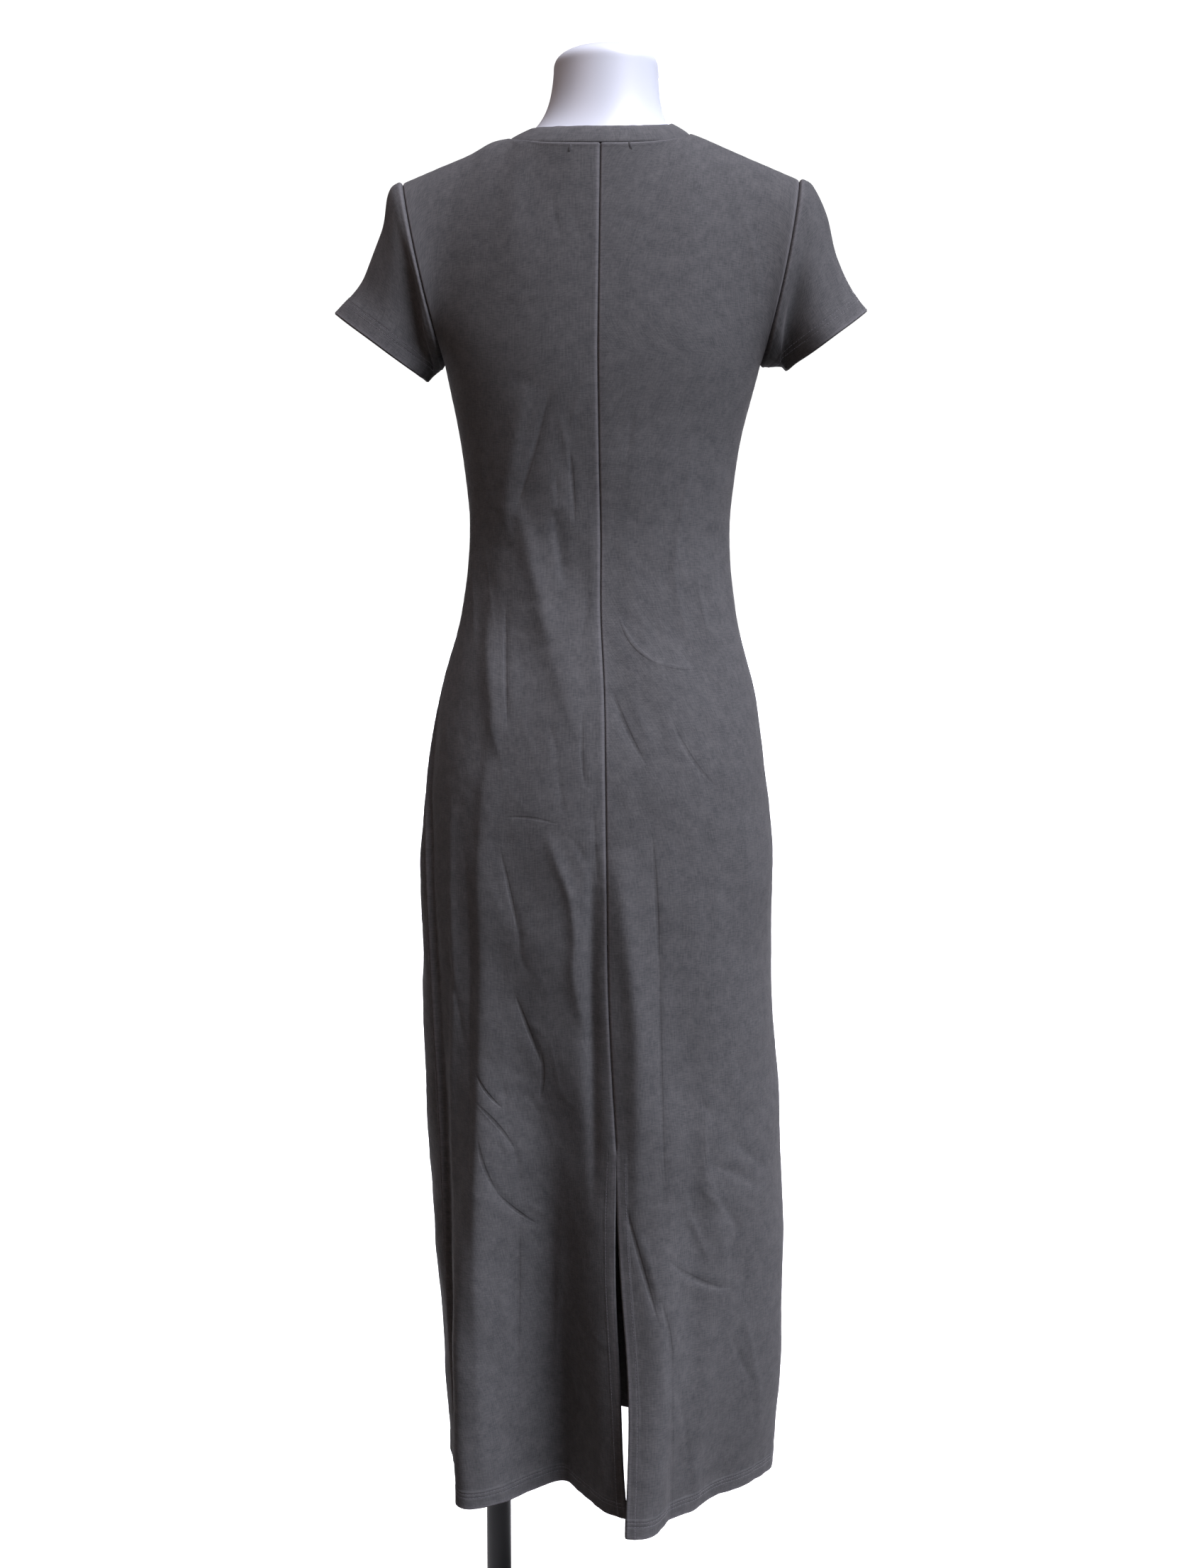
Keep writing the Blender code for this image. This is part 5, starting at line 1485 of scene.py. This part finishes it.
# %% Dress form
def dress_form():
    """Four quarters, two arm stumps, the closed bottom and the neck, welded into one skin."""
    neck_cols, shoulder_cols = 24, 32
    shares = np.concatenate([np.linspace(0, NECK_SHARE, neck_cols + 1),
                             np.linspace(NECK_SHARE, 1, shoulder_cols + 1)[1:]])
    low = 60
    levels = np.concatenate([np.linspace((FORM_Z - HEM_Z) / (UNDERARM_Z - HEM_Z), 1, low),
                             1 + (np.arange(1, 41) / 40) ** 1.3])
    keys = [(face, side) for face in ("back", "front") for side in (1, -1)]
    grids = {key: form_quarter(*key, shares, levels) for key in keys}
    for (face, side), grid in grids.items():  # under the band the top edge is drawn in
        q = pi / 2 * shares[:neck_cols + 1] / NECK_SHARE
        q = q if face == "back" else pi - q
        line = neckband(np.array([q if side > 0 else 2 * pi - q] * 2), np.array([[0.0], [0.01]]))
        out = unit((line[0] - [NECK_SHIFT, NECK_Y, 0]) * [1, 1, 0])
        grid[-1, :neck_cols + 1] -= out * (BAND_CLOTH + BAND_CLEARANCE)
    # where two quarters meet, both take the mean of their edges
    meet = [(grids[face, 1][:, 0], grids[face, -1][:, 0]) for face in ("back", "front")]
    for side in (1, -1):
        back, front = grids["back", side], grids["front", side]
        meet += [(back[:low, -1], front[:low, -1]), (back[-1, neck_cols:], front[-1, neck_cols:])]
    for one, other in meet:
        one[:] = other[:] = (one + other) / 2
    skins = list(grids.values())
    for side in (1, -1):  # an arm stump: the ring shrinks to its middle as it swells out
        back, front = grids["back", side], grids["front", side]
        ring = np.concatenate([back[low - 1:, -1], front[-2:low - 1:-1, -1], back[low - 1:low, -1]])
        shrink = np.linspace(0, 1, 15)[:, None, None]
        skins.append(ring + (ring[:-1].mean(axis=0) - ring) * shrink
                     + np.array([side * ARM_CAP_BULGE, 0, 0]) * np.sqrt(1 - (1 - shrink) ** 2))

    def round_the_form(row, last):
        """One row of all four quarters as a closed ring, from the centre back to the left."""
        parts = [grids[key][row, :last] for key in
                 (("back", 1), ("front", 1), ("front", -1), ("back", -1))]
        return np.concatenate([parts[0], parts[1][-2::-1], parts[2][1:], parts[3][-2::-1]])

    bottom = round_the_form(0, None)
    shrink = np.array([0, 0.02, 0.2, 0.5, 0.8, 1.0])[:, None, None]
    skins.append(bottom + (bottom.mean(axis=0) - bottom) * shrink)
    seam = round_the_form(-1, neck_cols + 1)
    turn = np.linspace(0, 2 * pi, len(seam))
    under_band = neckband(*np.meshgrid(turn, np.linspace(0.5, 1.0, 5)))
    out = unit((under_band - [BAND_SHIFT, BAND_Y, 0]) * [1, 1, 0])
    under_band -= out * (BAND_CLOTH + BAND_CLEARANCE)
    # the neck: an exponential flare up from the band, then a rounded, nearly flat top
    column = np.stack([NECK_MIDDLE + NECK_RADIUS * np.sin(turn), NECK_RADIUS * np.cos(turn),
                       NECK_SHOULDER + 0 * turn], -1)
    rise = np.linspace(0, 1, 33)[:, None, None]
    flare = (np.exp(-NECK_FLARE * rise) - np.exp(-NECK_FLARE)) / (1 - np.exp(-NECK_FLARE))
    neck = column + (under_band[4] - column) * np.concatenate([flare, flare, 1 - rise], -1)
    angle = np.linspace(0, pi / 2, 25)[1:, None, None]
    shrink = np.cos(angle).clip(0) ** (2 / 3)
    middle = np.array([NECK_MIDDLE, 0.0, NECK_SHOULDER])
    top = middle + (column - middle) * shrink + np.array(
        [0, 0, NECK_TOP - NECK_SHOULDER]) * np.sin(angle) ** (2 / 3)
    skins.append(np.concatenate([seam[None], under_band[[0]], neck, top]))
    return weld("dress_form", skins)


finish_piece(dress_form(), form_white, "form_white", "form_torso")

# %% [markdown]
# ## The stand
#
# A steel plate, a socket that holds the upright, the upright tube and a flange screwed under the
# form. All of them were turned or pressed round, so each is a profile spun about its own axis,
# with its corners rounded as a powder coat rounds them.

# %% Turned parts
BASE_RADIUS, BASE_HEIGHT = 0.180, 0.008
POLE_X, POLE_RADIUS = 0.111, 0.0125
SOCKET_RADIUS, SOCKET_HEIGHT = 0.021, 0.034
FLANGE_RADIUS, FLANGE_HEIGHT = 0.034, 0.007
FIT = 0.0003
ROUND = 97  # points round a turned part; the last one closes it


def turned_part(name, corners, x, z, closed):
    """Spins a profile of (radius, height, corner radius); a corner is a quadratic curve."""
    corners = np.array(corners, float)
    spots = corners[:, :2]
    before = unit(np.roll(spots, 1, axis=0) - spots)
    after = unit(np.roll(spots, -1, axis=0) - spots)
    t = np.linspace(0, 1, 6)[None, :, None]
    start = (spots + before * corners[:, 2:])[:, None]
    end = (spots + after * corners[:, 2:])[:, None]
    path = ((1 - t) ** 2 * start + 2 * t * (1 - t) * spots[:, None] + t * t * end).reshape(-1, 2)
    keep = np.append(True, np.linalg.norm(np.diff(path, axis=0), axis=1) > 1e-7)
    path = path[keep]
    if closed:
        path = np.append(path, path[:1], axis=0)
    turn = np.linspace(0, 2 * pi, ROUND)
    grid = np.stack([x + np.outer(path[:, 0], np.cos(turn)), np.outer(path[:, 0], np.sin(turn)),
                     z + np.repeat(path[:, 1:], ROUND, axis=1)], -1)
    grid[:, -1] = grid[:, 0]
    return weld(name, [grid])


FOOT, HEAD = BASE_HEIGHT + FIT, FORM_Z - FIT
BORE = POLE_RADIUS + FIT
STAND_PARTS = {
    "stand_plate": ("stand_base", 0, 0, False, [
        (0, 0, 0), (BASE_RADIUS, 0, 0.0018), (BASE_RADIUS, BASE_HEIGHT, 0.0022),
        (0, BASE_HEIGHT, 0)]),
    "stand_collar": ("stand_socket", POLE_X, FOOT, True, [
        (BORE, 0, 0.0004), (SOCKET_RADIUS + 0.006, 0, 0.0006),
        (SOCKET_RADIUS + 0.006, 0.004, 0.0015), (SOCKET_RADIUS, 0.010, 0.003),
        (SOCKET_RADIUS, SOCKET_HEIGHT, 0.003), (BORE, SOCKET_HEIGHT, 0.0006)]),
    "stand_tube": ("stand_pole", POLE_X, 0, False, [
        (0, FOOT, 0), (POLE_RADIUS, FOOT, 0.0008), (POLE_RADIUS, HEAD, 0.0008), (0, HEAD, 0)]),
    "stand_top_flange": ("stand_flange", POLE_X, HEAD, True, [
        (BORE, -FLANGE_HEIGHT, 0.0006), (FLANGE_RADIUS, -FLANGE_HEIGHT, 0.002),
        (FLANGE_RADIUS, 0, 0.0006), (BORE, 0, 0.0004)]),
}
for name, (node_name, x, z, closed, corners) in STAND_PARTS.items():
    finish_piece(turned_part(name, corners, x, z, closed), stand_black, "stand_black", node_name)

# %% [markdown]
# ## What the cloth was cut to
#
# A cutter needs each piece's flat size. We measure the panels that we made: their widest row,
# their longest column and their area, which is less than the rectangle they are cut from.

# %% Flat sizes
def cloth_size(points, tube=False):
    """Widest row, longest column, and the summed area of the grid's cells, in metres."""
    if tube:
        points = np.append(points, points[:, :1], axis=1)
    across = np.diff(points, axis=1)
    up = np.diff(points, axis=0)
    area = np.linalg.norm(np.cross(across[:-1], up[:, :-1]), axis=-1).sum()
    return (np.linalg.norm(across, axis=-1).sum(axis=1).max(),
            np.linalg.norm(up, axis=-1).sum(axis=0).max(), area)


for label, points, tube in (("back left", back_left_points, False),
                            ("back right", back_right_points, False),
                            ("front", front_points, False),
                            ("left sleeve", sleeves[1][1], True),
                            ("right sleeve", sleeves[-1][1], True)):
    print(label, "width, length, area:", *(round(float(v), 4) for v in cloth_size(points, tube)))

# %% [markdown]
# ## Floor, light and camera
#
# The floor is a plain pale studio floor. One large soft light stands to the right of the camera
# and high up, slightly cool, so the folds on the left fall into shade. The room gives a weak even
# light. The backdrop is lit on its own, brighter than the light it throws on the dress.

# %% Floor
turn = np.linspace(0, 2 * pi, ROUND)
radius = np.array([0.0, 1.0, 4.0, 15.0, 60.0])[:, None]
floor = weld("studio_floor", [np.stack([radius * np.cos(turn), radius * np.sin(turn),
                                        0 * radius + 0 * turn], -1)])
# matt emulsion paint on a smooth screed: even, but for its roughness
floor.data.materials.append(painted(
    "pale_floor_paint", None, (1.5, 3.0), (0.85, 0.95), Specular_IOR_Level=0.2,
    Base_Color=linear("#e9e9ea"), Emission_Color=linear("#ffffff"), Emission_Strength=0.9))
floor.visible_diffuse = False  # it is seen, but throws no light up at the dress
floor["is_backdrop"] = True
print("floor up to", round(float(radius.max())), "m away")


# %% Light
def lamp(name, kind, energy, colour):
    light = bpy.data.lights.new(name, kind)
    light.energy, light.color = energy, linear(colour)[:3]
    return add_object(name, light)


def soft_sun(name, strength, spread, colour, azimuth, height):
    """A sun lamp, given by where it stands round the dress and how high, in degrees."""
    sun = lamp(name, "SUN", strength, colour)
    sun.data.angle = radians(spread)
    sun.rotation_euler = (radians(90 - height), 0, radians(azimuth))


# azimuth 180 would be straight behind the camera; a smaller one is to the camera's left
soft_sun("key_light", 7.2, 40, "#f0f0ff", 180 + 51, 51)
# the other side of the studio, which the camera never sees lit by the key
soft_sun("front_light", 1.7, 20, "#f4f4ff", -12, 15)
# a square lamp, high up on the left and turned towards the dress: nearer cloth gets more of it
fill = lamp("fill_light", "AREA", 8.0, "#ffdcd2")
fill.data.size = 1.6
fill.location = (1.3, 1.3, 2.6)
fill.rotation_euler = (Vector((0.0, 0.0, 1.1)) - fill.location).to_track_quat(
    "-Z", "Y").to_euler()

world = bpy.data.worlds.new("studio_room")
bpy.context.scene.world = world
world.use_nodes = True
tree = world.node_tree
room = tree.nodes["Background"]
plug(tree, room, Color=linear("#ffe4dc"))
height = node(tree, "SeparateXYZ", "Z", Vector=node(tree, "TexCoord", "Generated"))
plug(tree, room, Strength=node(tree, "MapRange", Value=height, From_Min=-1.0, To_Min=0.01,
                               To_Max=0.14))
backdrop = node(tree, "Background", Color=linear("#ffffff"), Strength=1.1)
seen = node(tree, "LightPath", "Is Camera Ray")
both = node(tree, "MixShader", Fac=seen, _1=room.outputs[0], _2=backdrop)
plug(tree, tree.nodes["World Output"], Surface=both)
bpy.context.scene.view_settings.view_transform = "Standard"
print("key, front and fill lights, and the room")

# %% [markdown]
# ## Camera
#
# The camera stands 1.7 m behind the dress at about the height of the waist and looks down by six
# degrees, which keeps the upright lines of the dress nearly parallel.

# %% Camera
lens = bpy.data.cameras.new("camera")
lens.lens, lens.sensor_width = 39.6, 36.0
camera = add_object("camera", lens)
camera.location = (0.0182, 1.700, 1.1189)
camera.rotation_euler = (radians(84), 0, radians(180))
bpy.context.scene.camera = camera

# %% Sizes against the frame
shown_box = [[float(v) for v in corner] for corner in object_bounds()]
for axis, low, high in zip("XYZ", np.subtract(shown_box[0], cad_box[0]),
                           np.subtract(shown_box[1], cad_box[1])):
    print(f"{axis}: lowest {low * 1000:+.1f} mm, highest {high * 1000:+.1f} mm against the frame")
